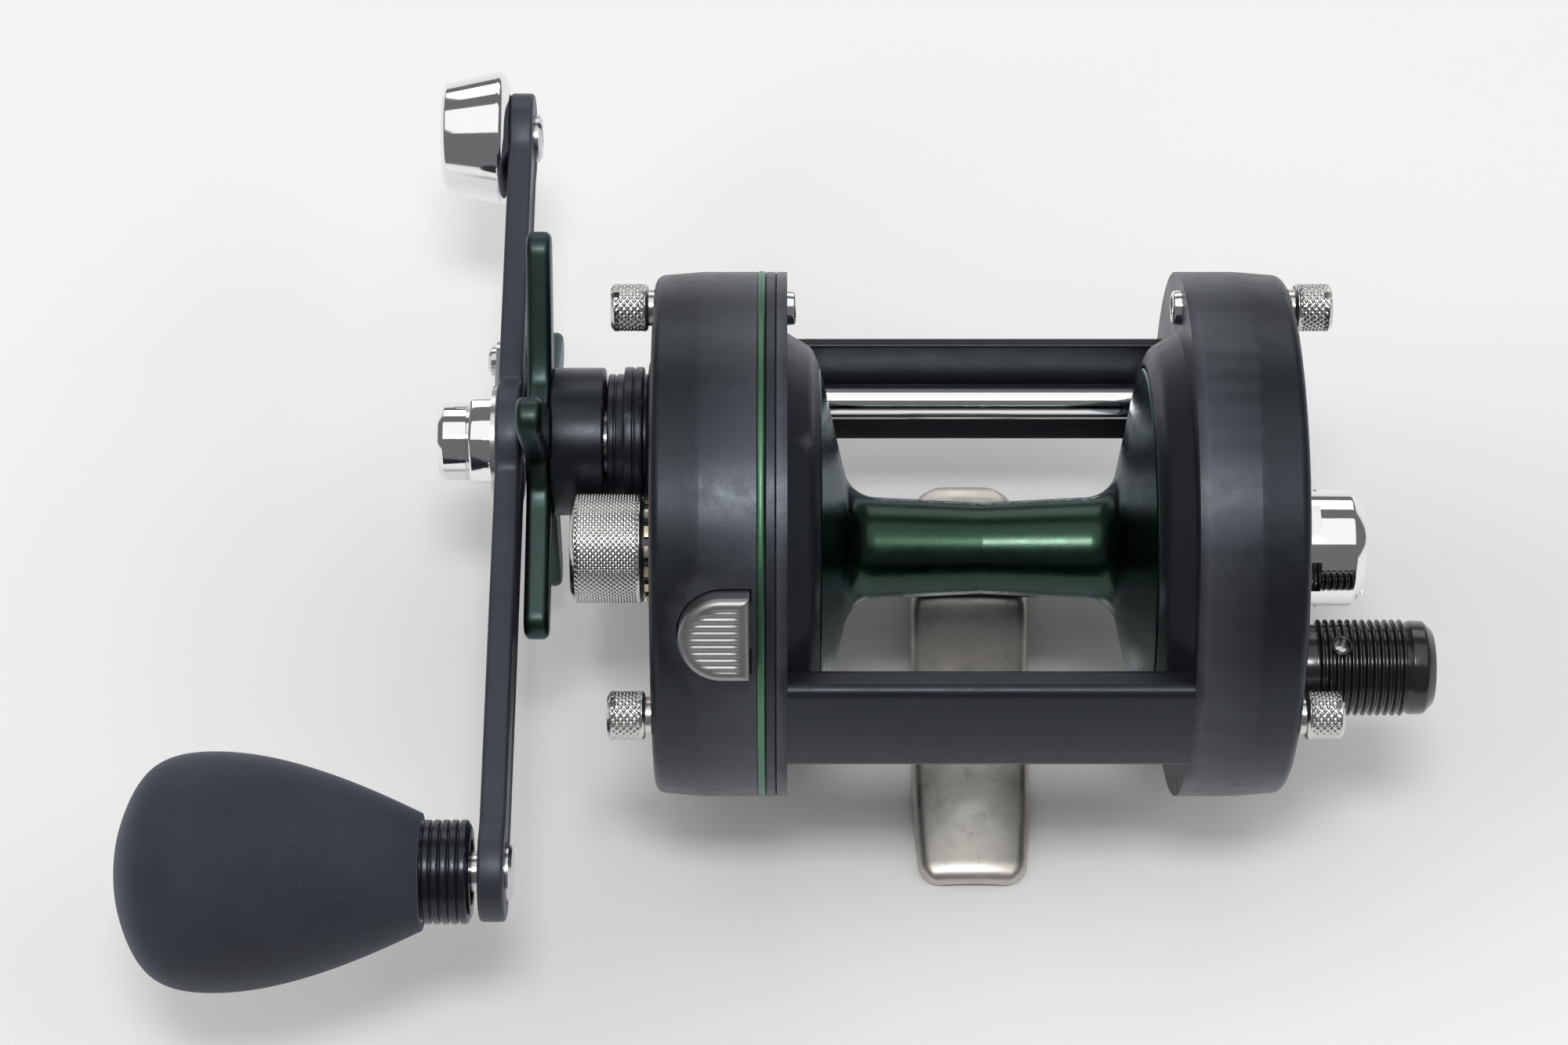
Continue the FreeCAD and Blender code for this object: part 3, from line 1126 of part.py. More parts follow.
def build():
    """Every piece, in the order of assembly."""
    pieces = [
        cage(), front_rod(), front_rod_screws(), reel_foot(), foot_rivets(), screw_bushes(),
        bridge_plate(), trim_ring(), gear_cover(), palm_cover(),
        thumb_screws("gear_side_thumb_screws", "left", "gear_cover_face", "-"),
        thumb_screws("palm_side_thumb_screws", "right", "palm_cover_face", "+"),
        spool(), spool_shaft(), spool_cross_pin(), tension_knob(), tension_shim(), tension_click_ring(),
        ball_bearing("gear_side_spool_bearing", SPOOL, "-gear_cover_face - 1.2 - bearing_thick",
                     "bearing_thick", "shaft_radius + 0.02", "bearing_outer"),
        ball_bearing("palm_side_spool_bearing", SPOOL, "palm_cover_face + 1", "bearing_thick",
                     "shaft_radius + 0.02", "bearing_outer"),
        palm_cap(), shaft_housing(),
        ball_bearing("drive_shaft_bearing", CRANK, "-gear_cover_face - 6.0", "3",
                     "sleeve_radius + 0.05", "6.0"),
        shaft_bush(), drive_shaft(), ratchet_wheel(), main_gear(), pinion(), drag_washers(),
        drag_plates(), pressure_sleeve(), spring_washers(), star_wheel(), star_collar(), star_nut(),
        handle_arm(), handle_nut(), nut_retainer(), retainer_screw(), counterweight(),
        counterweight_screw(), knob_spindle(), knob_ferrule(), knob_bearings(), knob_grip(),
        free_spool_button(), release_slide(), yoke(), yoke_posts(), yoke_springs(),
        anti_reverse_dog(), dog_pivot(), brake_knob(), brake_grub_screw(), brake_spindle(),
        magnet_carrier(), magnets(),
    ]
    doc.recompute()
    return pieces


def check_and_write(pieces):
    """Stop on anything that failed, then write one STEP file for each piece."""
    failed = [item.Label for item in doc.Objects if "Invalid" in item.State or "Error" in item.State]
    if failed:
        raise RuntimeError("failed objects: " + ", ".join(failed))
    for piece in pieces:
        if piece.Shape.isNull() or not piece.Shape.isValid() or not piece.Shape.Solids:
            raise RuntimeError("bad shape: " + piece.Label)
    os.makedirs("parts", exist_ok=True)
    for piece in pieces:
        piece.Shape.exportStep(os.path.join("parts", piece.Label + ".step"))
        print(f"{piece.Label}: {len(piece.Shape.Solids)} solids, {piece.Shape.Volume:.1f} mm3")


check_and_write(build())
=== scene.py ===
"""The looks of the trolling reel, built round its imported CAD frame.

Everything is in metres, in the CAD frame: X runs along the spool's axis from the handle side to the palm
side, +Y is the front and +Z is up. Places and sizes come from the boxes of the CAD nodes.
"""
import json
import math

import bmesh
import bpy
from mathutils import Matrix, Vector


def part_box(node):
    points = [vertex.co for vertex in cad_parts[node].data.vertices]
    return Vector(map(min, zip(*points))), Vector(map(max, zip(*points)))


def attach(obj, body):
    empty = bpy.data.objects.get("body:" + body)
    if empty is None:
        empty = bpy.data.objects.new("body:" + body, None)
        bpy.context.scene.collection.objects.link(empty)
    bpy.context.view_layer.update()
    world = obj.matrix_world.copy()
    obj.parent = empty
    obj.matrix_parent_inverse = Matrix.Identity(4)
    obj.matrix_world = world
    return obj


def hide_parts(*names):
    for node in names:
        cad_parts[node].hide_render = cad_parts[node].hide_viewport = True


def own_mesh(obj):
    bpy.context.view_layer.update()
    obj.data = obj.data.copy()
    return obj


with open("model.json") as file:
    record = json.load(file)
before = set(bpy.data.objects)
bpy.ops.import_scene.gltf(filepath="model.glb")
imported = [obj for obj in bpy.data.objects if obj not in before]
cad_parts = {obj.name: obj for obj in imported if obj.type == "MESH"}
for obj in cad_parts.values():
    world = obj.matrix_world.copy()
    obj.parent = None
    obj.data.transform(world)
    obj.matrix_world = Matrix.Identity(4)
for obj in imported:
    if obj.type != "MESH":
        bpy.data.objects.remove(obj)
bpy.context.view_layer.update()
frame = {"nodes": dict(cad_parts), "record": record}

MM = 0.001
TURN = 2 * math.pi
NEARLY_STRAIGHT = math.radians(89)
ALONG_X = Matrix.Rotation(math.pi / 2, 4, "Y")
BODIES = frame["record"]["behaviour"]["bodies"]
BODY_OF = {node: body for body, nodes in BODIES.items() for node in nodes}


# ---------------------------------------------------------------- shapes

def axis_of(node):
    """The (y, z) centre of a node that is round about an axis along X."""
    low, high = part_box(node)
    return (low.y + high.y) / 2, (low.z + high.z) / 2


def radius_of(node):
    """Half the height of a node."""
    low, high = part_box(node)
    return (high.z - low.z) / 2


def in_metres(corners):
    """Corners of (place, radius, rounding) in millimetres, turned into metres."""
    return [(x * MM, radius * MM, bend * MM) for x, radius, bend in corners]


def rounded(corners, steps=5):
    """A line through (u, v, radius) corners, with each corner that has a radius turned into an arc."""
    line = []
    for index, (u, v, radius) in enumerate(corners):
        here = Vector((u, v))
        if radius <= 0 or index in (0, len(corners) - 1):
            line.append(here)
            continue
        before = Vector(corners[index - 1][:2]) - here
        after = Vector(corners[index + 1][:2]) - here
        half = before.angle(after) / 2
        if half > NEARLY_STRAIGHT:
            line.append(here)
            continue
        reach = min(radius / math.tan(half), before.length * 0.48, after.length * 0.48)
        radius = reach * math.tan(half)
        middle = here + (before.normalized() + after.normalized()).normalized() * (radius / math.sin(half))
        start = here + before.normalized() * reach - middle
        end = here + after.normalized() * reach - middle
        first = math.atan2(start.y, start.x)
        sweep = math.remainder(math.atan2(end.y, end.x) - first, TURN)
        for step in range(steps + 1):
            turn = first + sweep * step / steps
            line.append(middle + Vector((math.cos(turn), math.sin(turn))) * radius)
    return line


def finish_mesh(name, mesh, sharp=32):
    """A new object from a bmesh, shaded smooth except at edges sharper than an angle."""
    bmesh.ops.remove_doubles(mesh, verts=mesh.verts, dist=1e-7)
    bmesh.ops.recalc_face_normals(mesh, faces=mesh.faces)
    data = bpy.data.meshes.new(name)
    mesh.to_mesh(data)
    mesh.free()
    data.validate()
    for face in data.polygons:
        face.use_smooth = True
    data.set_sharp_from_angle(angle=math.radians(sharp))
    thing = bpy.data.objects.new(name, data)
    bpy.context.scene.collection.objects.link(thing)
    return thing


def lathe_into(mesh, line, axis, segments=128, push=None):
    """Spin a line of (x, radius) points about an axis along X; push moves each radius by (x, turn)."""
    rings = []
    for x, radius in line:
        if radius < 1e-7:
            rings.append([mesh.verts.new((x, axis[0], axis[1]))])
            continue
        ring = []
        for step in range(segments):
            turn = TURN * step / segments
            out = radius + (push(x, turn, radius) if push else 0)
            ring.append(mesh.verts.new((x, axis[0] + out * math.cos(turn), axis[1] + out * math.sin(turn))))
        rings.append(ring)
    for first, second in zip(rings, rings[1:]):
        for step in range(segments):
            after = (step + 1) % segments
            corners = [first[step % len(first)], first[after % len(first)],
                       second[after % len(second)], second[step % len(second)]]
            unique = list(dict.fromkeys(corners))
            if len(unique) > 2:
                mesh.faces.new(unique)


def lathe(name, corners, axis, segments=128, steps=5, sharp=32):
    """A solid of revolution whose (x, radius, rounding) corners are in millimetres."""
    mesh = bmesh.new()
    lathe_into(mesh, rounded(in_metres(corners), steps), axis, segments)
    return finish_mesh(name, mesh, sharp)


def arc(centre, radius, start, sweep, count):
    """Points on an arc of a circle, in (y, z)."""
    turns = [start + sweep * step / (count - 1) for step in range(count)]
    return [Vector((centre[0] + radius * math.cos(turn), centre[1] + radius * math.sin(turn)))
            for turn in turns]


def inset(outline, depth):
    """A closed anticlockwise outline moved inward, corner by corner."""
    moved = []
    for index, here in enumerate(outline):
        before = (here - outline[index - 1]).normalized()
        after = (outline[(index + 1) % len(outline)] - here).normalized()
        middle = (before + after).normalized()
        inward = Vector((-middle.y, middle.x))
        moved.append(here + inward * depth / max(middle.dot(after), 0.4))
    return moved


def skin(mesh, rings):
    """Join closed rings of points into a skin, with a flat face over each end."""
    loops = [[mesh.verts.new(point) for point in ring] for ring in rings]
    for first, second in zip(loops, loops[1:]):
        for index in range(len(first)):
            after = (index + 1) % len(first)
            mesh.faces.new((first[index], first[after], second[after], second[index]))
    mesh.faces.new(loops[0])
    mesh.faces.new(loops[-1])


def close_grids(mesh, upper, lower):
    """A solid from two matching grids of points: a skin over each, and a wall all round."""
    rows, columns = len(upper) - 1, len(upper[0]) - 1
    for layer in (upper, lower):
        for first, second in zip(layer, layer[1:]):
            for column in range(columns):
                mesh.faces.new((first[column], first[column + 1], second[column + 1], second[column]))
    rim = [(0, column) for column in range(columns)] + [(row, columns) for row in range(rows)]
    rim += [(rows, column) for column in range(columns, 0, -1)] + [(row, 0) for row in range(rows, 0, -1)]
    for (row, column), (next_row, next_column) in zip(rim, rim[1:] + rim[:1]):
        mesh.faces.new((upper[row][column], upper[next_row][next_column],
                        lower[next_row][next_column], lower[row][column]))


def slab(mesh, outline, x_from, x_to, ease_from, ease_to, steps):
    """A flat piece across X, its rim rounded by the first ease at one face and the second at the other."""
    way = 1 if x_to > x_from else -1
    border = 0.12 * MM
    rings = []
    for face, ease, turn_order in ((x_from, ease_from, range(steps + 1)),
                                   (x_to, ease_to, range(steps, -1, -1))):
        side = way if face == x_from else -way
        bend = [(face + side * ease * (1 - math.cos(math.pi / 2 * step / steps)),
                 ease * (1 - math.sin(math.pi / 2 * step / steps))) for step in turn_order]
        flat = (face, ease + border)
        rings += [flat] + bend if face == x_from else bend + [flat]
    skin(mesh, [[(x, spot.x, spot.y) for spot in inset(outline, depth)] for x, depth in rings])


def add_block(mesh, place, x, y, z):
    """A block of a given size in metres, added to a bmesh at a matrix."""
    bmesh.ops.create_cube(mesh, size=1, matrix=place @ Matrix.Diagonal((x, y, z, 1)))


def add_cylinder(mesh, place, radius, depth, segments):
    """A closed cylinder, added to a bmesh along the Z direction of a matrix."""
    bmesh.ops.create_cone(mesh, cap_ends=True, segments=segments, radius1=radius, radius2=radius,
                          depth=depth, matrix=place)


def carve(thing, cutters):
    """Cut a bmesh of closed solids out of an object's mesh."""
    data = bpy.data.meshes.new("cutters")
    cutters.to_mesh(data)
    cutters.free()
    tool = bpy.data.objects.new("cutters", data)
    bpy.context.scene.collection.objects.link(tool)
    difference = thing.modifiers.new("carve", "BOOLEAN")
    difference.object = tool
    difference.operation = "DIFFERENCE"
    difference.solver = "MANIFOLD"
    apply_modifiers(thing)
    bpy.data.objects.remove(tool)


def apply_modifiers(thing):
    """Turn an object's modifiers into its mesh."""
    bpy.context.view_layer.update()
    graph = bpy.context.evaluated_depsgraph_get()
    data = bpy.data.meshes.new_from_object(thing.evaluated_get(graph))
    thing.modifiers.clear()
    thing.data = data


def stand_for(piece, node):
    """The piece takes a CAD node's place: it rides on the node's body and wears its slot."""
    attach(piece, BODY_OF[node])
    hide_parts(node)
    piece.data.materials.clear()
    piece.data.materials.append(MATERIALS[SLOT_OF[node]])


# ---------------------------------------------------------------- materials

SLOT_OF = {part["node"]: part["material_slot"] for part in frame["record"]["subparts"]}
MATERIALS = {}
COLOUR_A, COLOUR_B, COLOUR_RESULT = 6, 7, 2    # the colour sockets of a mix node


class Tree:
    """A small helper that adds nodes to a material and joins them."""

    def __init__(self, name):
        self.material = bpy.data.materials.new(name)
        self.material.use_nodes = True
        self.nodes = self.material.node_tree.nodes
        self.links = self.material.node_tree.links
        self.shader = self.nodes["Principled BSDF"]
        self.coords = self.nodes.new("ShaderNodeTexCoord").outputs["Object"]

    def join(self, source, target):
        """A link from an output to an input."""
        self.links.new(source, target)

    def set(self, **sockets):
        """Plain values for the shader's own sockets, with _ for each space in a name."""
        for name, value in sockets.items():
            self.shader.inputs[name.replace("_", " ")].default_value = value

    def stretched(self, x, y, z):
        """The object's coordinates, each scaled."""
        node = self.nodes.new("ShaderNodeMapping")
        node.inputs["Scale"].default_value = (x, y, z)
        self.join(self.coords, node.inputs["Vector"])
        return node.outputs["Vector"]

    def noise(self, scale, detail=3, rough=0.5, vector=None):
        """Cloudy noise from nought to one."""
        node = self.nodes.new("ShaderNodeTexNoise")
        node.inputs["Scale"].default_value = scale
        node.inputs["Detail"].default_value = detail
        node.inputs["Roughness"].default_value = rough
        self.join(vector or self.coords, node.inputs["Vector"])
        return node.outputs["Fac"]

    def cells(self, scale, vector=None):
        """The distance to the nearest of many scattered points."""
        node = self.nodes.new("ShaderNodeTexVoronoi")
        node.inputs["Scale"].default_value = scale
        self.join(vector or self.coords, node.inputs["Vector"])
        return node.outputs["Distance"]

    def ramp(self, source, low, high, start=0.3, end=0.7):
        """A colour from low to high as the source goes from start to end."""
        node = self.nodes.new("ShaderNodeValToRGB")
        node.color_ramp.elements[0].position = start
        node.color_ramp.elements[1].position = end
        node.color_ramp.elements[0].color = (*low, 1)
        node.color_ramp.elements[1].color = (*high, 1)
        self.join(source, node.inputs["Fac"])
        return node.outputs["Color"]

    def spread(self, source, low, high, start=0.3, end=0.7):
        """A number from low to high as the source goes from start to end."""
        node = self.nodes.new("ShaderNodeMapRange")
        node.inputs["From Min"].default_value = start
        node.inputs["From Max"].default_value = end
        node.inputs["To Min"].default_value = low
        node.inputs["To Max"].default_value = high
        self.join(source, node.inputs["Value"])
        return node.outputs["Result"]

    def mix(self, factor, low, high):
        """A colour mixed from two others."""
        node = self.nodes.new("ShaderNodeMix")
        node.data_type = "RGBA"
        self.join(factor, node.inputs["Factor"])
        self.join(low, node.inputs[COLOUR_A])
        self.join(high, node.inputs[COLOUR_B])
        return node.outputs[COLOUR_RESULT]

    def edges(self, start, end):
        """One on outside edges and nought elsewhere."""
        node = self.nodes.new("ShaderNodeNewGeometry")
        return self.spread(node.outputs["Pointiness"], 0, 1, start, end)

    def bump(self, source, strength, depth, after=None):
        """Relief of a given depth in metres, on top of an earlier relief if there is one."""
        node = self.nodes.new("ShaderNodeBump")
        node.inputs["Strength"].default_value = strength
        node.inputs["Distance"].default_value = depth
        self.join(source, node.inputs["Height"])
        if after:
            self.join(after, node.inputs["Normal"])
        self.join(node.outputs["Normal"], self.shader.inputs["Normal"])
        return node.outputs["Normal"]

    def colour(self, source):
        """The surface's colour."""
        self.join(source, self.shader.inputs["Base Color"])

    def roughness(self, source):
        """The surface's roughness."""
        self.join(source, self.shader.inputs["Roughness"])


def tint(colour, factor):
    """A colour made lighter or darker."""
    return tuple(min(part * factor, 1) for part in colour)


def anodised(name, colour, rough, metal, edge_highlight, turned=True):
    """Anodised aluminium: fine bead-blasted grain, faint lathe rings, and a painted highlight on outside
    edges.
    """
    grain, vary = 0.25, 0.16
    tree = Tree(name)
    tree.set(Metallic=metal, IOR=1.5, Coat_Weight=0.35 if metal == 1 else 0,
             Coat_Roughness=rough * 0.7, Specular_Tint=(0.80, 0.89, 1, 1))
    cloud = tree.noise(60, 4, 0.6)
    body = tree.ramp(cloud, tint(colour, 1 - vary), tint(colour, 1 + vary))
    fine = tree.noise(5200, 2, 0.6)
    # Outside edges, found by pointiness, are mixed towards a paler grainy colour: a painted highlight where
    # the edges catch the light.
    tree.colour(tree.mix(tree.edges(0.53, 0.62), body, tree.ramp(fine, edge_highlight, tint(edge_highlight, 1.3))))
    tree.roughness(tree.spread(tree.noise(420, 4, 0.6), rough - 0.05, rough + 0.05))
    grains = tree.bump(fine, grain, 0.00004)
    if turned:
        tree.bump(tree.noise(900, 2, 0.5, tree.stretched(5, 0.12, 0.12)), 0.10, 0.00004, grains)
    return tree.material


def bright_metal(name, colour, low_rough, high_rough, scratches=0.05, vary=0.05):
    """Bare or plated metal: smudges in its gloss and hairline scratches."""
    tree = Tree(name)
    tree.set(Metallic=1.0)
    smudge = tree.noise(140, 5, 0.65)
    tree.colour(tree.ramp(smudge, tint(colour, 1 - vary), tint(colour, 1 + vary)))
    tree.roughness(tree.spread(smudge, low_rough, high_rough))
    hairlines = tree.noise(700, 3, 0.7, tree.stretched(0.35, 4, 4))
    tree.bump(hairlines, scratches, 0.00003)
    return tree.material


def tumbled_steel(name):
    """The foot's dull, wear-marked nickel: mottled, with pits and dirt in patches."""
    tree = Tree(name)
    tree.set(Metallic=1.0)
    cloud = tree.noise(150, 6, 0.7)
    clean = tree.ramp(cloud, (0.57, 0.54, 0.50), (0.69, 0.66, 0.62), 0.32, 0.68)
    spots = tree.noise(1300, 3, 0.7)
    dirty = tree.ramp(spots, (0.38, 0.36, 0.34), (0.52, 0.50, 0.47))
    tree.colour(tree.mix(tree.spread(tree.noise(420, 5, 0.7), 0, 0.75, 0.56, 0.70), clean, dirty))
    tree.roughness(tree.spread(tree.noise(260, 5, 0.65), 0.33, 0.50))
    pits = tree.bump(tree.noise(2600, 3, 0.6), 0.22, 0.00005)
    tree.bump(tree.noise(330, 3, 0.5), 0.18, 0.00012, pits)
    return tree.material


def foam(name):
    """Fine closed-cell foam: pin-prick cells darkened with painted shade, a dusty sheen and faint cloudy
    marks.
    """
    tree = Tree(name)
    tree.set(IOR=1.45, Sheen_Weight=0.14, Sheen_Roughness=0.45, Specular_IOR_Level=0.22)
    tree.shader.inputs["Sheen Tint"].default_value = (0.75, 0.85, 1.0, 1)
    cloud = tree.noise(85, 5, 0.65)
    body = tree.ramp(cloud, (0.0205, 0.0235, 0.0315), (0.0315, 0.0355, 0.0465))
    cell = tree.cells(2600)
    # Near the cells' centres, where the bump below sinks pits, the colour turns darker: painted shade in the
    # pits.
    tree.colour(tree.mix(tree.spread(cell, 0.55, 0, 0.05, 0.4), body,
                         tree.ramp(tree.noise(3600, 2, 0.6), (0.010, 0.012, 0.016), (0.034, 0.038, 0.046))))
    tree.roughness(tree.spread(cloud, 0.72, 0.86))
    cells = tree.bump(cell, 0.42, 0.00010)
    tree.bump(tree.noise(520, 4, 0.6), 0.25, 0.00016, cells)
    return tree.material


def glossy_black(name, colour, rough):
    """Gloss black with a fine orange-peel skin and dust."""
    tree = Tree(name)
    tree.set(IOR=1.5, Coat_Weight=0.35, Coat_Roughness=0.12)
    tree.colour(tree.ramp(tree.noise(220, 5, 0.7), tint(colour, 0.8), tint(colour, 1.35)))
    tree.roughness(tree.spread(tree.noise(900, 4, 0.6), rough - 0.06, rough + 0.08))
    tree.bump(tree.noise(1500, 3, 0.6), 0.10, 0.00006)
    return tree.material


def friction_fibre(name):
    """The drag washers' woven fibre."""
    tree = Tree(name)
    weave = tree.cells(1500, tree.stretched(1, 1, 1.6))
    tree.colour(tree.ramp(weave, (0.035, 0.03, 0.025), (0.11, 0.10, 0.085), 0.1, 0.6))
    tree.roughness(tree.spread(tree.noise(300), 0.75, 0.9))
    tree.bump(weave, 0.4, 0.0001)
    return tree.material


def make_materials():
    """One procedural material for each of the record's slots, and a brighter green for the trim ring."""
    black = (0.0105, 0.0120, 0.0158)
    # edge, and the last colour in each anodised call below, is the paler colour of the painted highlight on
    # outside edges.
    edge = (0.040, 0.043, 0.052)
    MATERIALS.update({
        "black_anodised": anodised("black_anodised", black, 0.36, 0.25, edge),
        "black_housing": anodised("black_housing", tint(black, 0.9), 0.33, 0.25, edge),
        "arm_black": anodised("arm_black", (0.035, 0.038, 0.049), 0.42, 0.25, edge, turned=False),
        "ferrule_black": anodised("ferrule_black", tint(black, 0.9), 0.25, 0.25, edge),
        "green_anodised": anodised("green_anodised", (0.0155, 0.041, 0.025), 0.28, 1.0, (0.04, 0.11, 0.07)),
        "trim_green": anodised("trim_green", (0.085, 0.185, 0.112), 0.42, 1.0, (0.12, 0.24, 0.15)),
        "star_green": anodised("star_green", (0.028, 0.052, 0.048), 0.44, 1.0, (0.06, 0.09, 0.08),
                               turned=False),
        "foot_metal": tumbled_steel("foot_metal"),
        "polished_chrome": bright_metal("polished_chrome", (0.86, 0.87, 0.88), 0.035, 0.085, 0.03, 0.02),
        "knurled_steel": bright_metal("knurled_steel", (0.66, 0.65, 0.63), 0.16, 0.30, 0.10),
        "button_metal": bright_metal("button_metal", (0.33, 0.33, 0.34), 0.38, 0.50, 0.10),
        "bearing_steel": bright_metal("bearing_steel", (0.62, 0.63, 0.65), 0.15, 0.28),
        "spring_steel": bright_metal("spring_steel", (0.50, 0.50, 0.52), 0.22, 0.36, 0.1),
        "gear_bronze": bright_metal("gear_bronze", (0.62, 0.42, 0.20), 0.22, 0.34, 0.1, 0.12),
        "brass": bright_metal("brass", (0.60, 0.52, 0.36), 0.22, 0.34, 0.06, 0.10),
        "friction_fibre": friction_fibre("friction_fibre"),
        "grip_foam": foam("grip_foam"),
        "knob_black": glossy_black("knob_black", (0.0085, 0.0085, 0.0090), 0.22),
        "magnet_nickel": bright_metal("magnet_nickel", (0.70, 0.70, 0.68), 0.10, 0.18),
    })


def dress_cad_nodes():
    """Give every CAD node its slot's material."""
    for name, node in frame["nodes"].items():
        node.data.materials.clear()
        node.data.materials.append(MATERIALS[SLOT_OF[name]])


# ---------------------------------------------------------------- knurled and ribbed pieces

def saw(value):
    """A triangle wave from nought to one and back, with a period of one."""
    return 1 - abs((value % 1) * 2 - 1)


def knurl(x_from, x_to, radius, pitch, depth):
    """A diamond knurl between two places, with the number of segments that draws it."""
    around, points_each = round(TURN * radius / pitch), 6
    ease, least = pitch * 0.6, radius * 0.93

    def push(x, turn, here):
        inside = min(x - x_from, x_to - x, ease) / ease
        if inside <= 0 or here < least:
            return 0
        along = (x - x_from) / pitch
        spin = turn / TURN * around
        height = min(saw(spin + along), saw(spin - along))
        return -depth * inside * (1 - height)
    return push, around * points_each


def knurled_line(corners, x_from, x_to, step):
    """Rounded corners, with extra points between two places so that a knurl can be cut there."""
    line = rounded(corners)
    dense = []
    for here, after in zip(line, line[1:]):
        dense.append(here)
        flat = abs(here.y - after.y) < 1e-7
        low, high = sorted((here.x, after.x))
        if flat and low <= x_to and high >= x_from and high - low > 2 * step:
            count = math.ceil((high - low) / step)
            dense += [here.lerp(after, number / count) for number in range(1, count)]
    dense.append(line[-1])
    return dense


def tension_knob():
    """The spool tension cap: diamond knurl all round, with a plain bevel at each end."""
    node = "tension_knob"
    low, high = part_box(node)
    axis, radius = axis_of(node), radius_of(node)
    wall, floor_thick, pitch, depth, step = 1.05 * MM, 1.2 * MM, 0.72 * MM, 0.24 * MM, 0.12 * MM
    ease = 0.1 * MM
    x_from, x_to = low.x + 0.5 * MM, high.x - 0.35 * MM
    push, segments = knurl(x_from, x_to, radius, pitch, depth)
    corners = [(low.x, 0, 0), (low.x, radius - 0.75 * MM, 0.3 * MM), (low.x + 0.6 * MM, radius, ease),
               (high.x - 0.3 * MM, radius, ease), (high.x, radius - 0.3 * MM, ease),
               (high.x, radius - wall, 0), (low.x + floor_thick, radius - wall, 0),
               (low.x + floor_thick, 0, 0)]
    mesh = bmesh.new()
    lathe_into(mesh, knurled_line(corners, x_from, x_to, step), axis, segments, push)
    stand_for(finish_mesh("tension_knob_looks", mesh, 60), node)


def thumb_screws(node, side):
    """Three knurled screws with a coin slot; side is -1 on the handle side and +1 on the palm side."""
    low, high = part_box(node)
    outer = low.x if side < 0 else high.x
    inner = high.x if side < 0 else low.x
    head, neck, shank = 3.0 * MM, 2.3 * MM, 1.2 * MM
    head_start = outer - side * 4.6 * MM
    neck_start = head_start - side * 0.8 * MM
    pitch, depth, step = 0.85 * MM, 0.26 * MM, 0.1 * MM
    centre, reach = axis_of("trim_ring"), 29.8 * MM
    turns = [math.radians(48 + 120 * number) for number in range(3)]
    places = [(centre[0] + reach * math.cos(turn), centre[1] + reach * math.sin(turn)) for turn in turns]
    mesh = bmesh.new()
    knurl_from, knurl_to = sorted((head_start + side * 0.35 * MM, outer - side * 0.4 * MM))
    push, segments = knurl(knurl_from, knurl_to, head, pitch, depth)
    for axis in places:
        corners = [(inner, 0, 0), (inner, shank, 0), (neck_start, shank, 0), (neck_start, neck, 0),
                   (head_start, neck, 0.15 * MM), (head_start, head - 0.25 * MM, 0.1 * MM),
                   (head_start + side * 0.3 * MM, head, 0.1 * MM),
                   (outer - side * 0.45 * MM, head, 0.15 * MM), (outer, head - 0.55 * MM, 0.15 * MM),
                   (outer, 0, 0)]
        line = knurled_line(corners, knurl_from, knurl_to, step)
        lathe_into(mesh, line, axis, segments, push)
    heads = finish_mesh(node + "_looks", mesh, 60)
    slots = bmesh.new()
    for axis in places:
        add_block(slots, Matrix.Translation((outer, *axis)), 2.2 * MM, 0.8 * MM, 9 * MM)
    carve(heads, slots)
    stand_for(heads, node)


# ---------------------------------------------------------------- side plates, spool and cage

def trim_ring():
    """The half-round coloured line between the cage and the handle-side cover."""
    low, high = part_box("trim_ring")
    start, end = low.x / MM, high.x / MM
    inner, outer = 31.3, radius_of("trim_ring") / MM
    ring = lathe("trim_ring_looks", [
        (start, inner, 0), (start, outer - 0.02, 0.35), ((start + end) / 2, outer + 0.08, 0.5),
        (end, outer - 0.02, 0.35), (end, inner, 0), (start, inner, 0)], axis_of("trim_ring"), 256)
    stand_for(ring, "trim_ring")
    ring.data.materials[0] = MATERIALS["trim_green"]


def spool():
    """The waisted arbor and the two dished flanges, each hollow behind."""
    rim, end = radius_of("spool") / MM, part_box("spool")[1].x / MM
    bore, waist, arbor, hub = 1.5, 5.8, 6.65, 5.65

    def half(side):
        """One half's outline, from the arbor out over the flange and back to the bore."""
        return [(side * 16.6, arbor, 4.2), (side * 20.4, rim, 0.4), (side * end, rim, 0.25),
                (side * end, rim - 1.2, 0.2), (side * 21.9, rim - 1.8, 0.5), (side * 19.7, hub + 2, 0.8),
                (side * end, hub, 0.2), (side * end, bore, 0)]

    corners = [(-end, bore, 0)] + list(reversed(half(-1)))[1:] + [(0, waist, 0.6)] + half(1)
    corners.append(corners[0])
    stand_for(lathe("spool_looks", corners, axis_of("spool"), 224, steps=7), "spool")


def front_rod():
    """The polished rod inside the front bar, hollow for its screws."""
    radius, end, bore = radius_of("front_rod") / MM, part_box("front_rod")[1].x / MM, 1.1
    stand_for(lathe("front_rod_looks", [
        (-end, bore, 0), (-end, radius, 0), (end, radius, 0), (end, bore, 0), (-end, bore, 0)],
        axis_of("front_rod"), 96), "front_rod")


def screw_bushes():
    """The polished eyelets on the rings' inner faces: a rolled rim round a hollow."""
    radius, end = radius_of("screw_bushes") / MM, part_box("screw_bushes")[1].x / MM
    bore, proud = 1.2, 1.1
    mesh = bmesh.new()
    for side in (-1, 1):
        face = side * end
        line = rounded(in_metres([
            (face, bore, 0), (face, radius, 0), (face - side * proud, radius - 0.1, 0.5),
            (face - side * proud, bore + 0.15, 0.3), (face - side * 0.3, bore, 0), (face, bore, 0)]))
        lathe_into(mesh, line, axis_of("screw_bushes"), 64)
    stand_for(finish_mesh("screw_bushes_looks", mesh, 50), "screw_bushes")


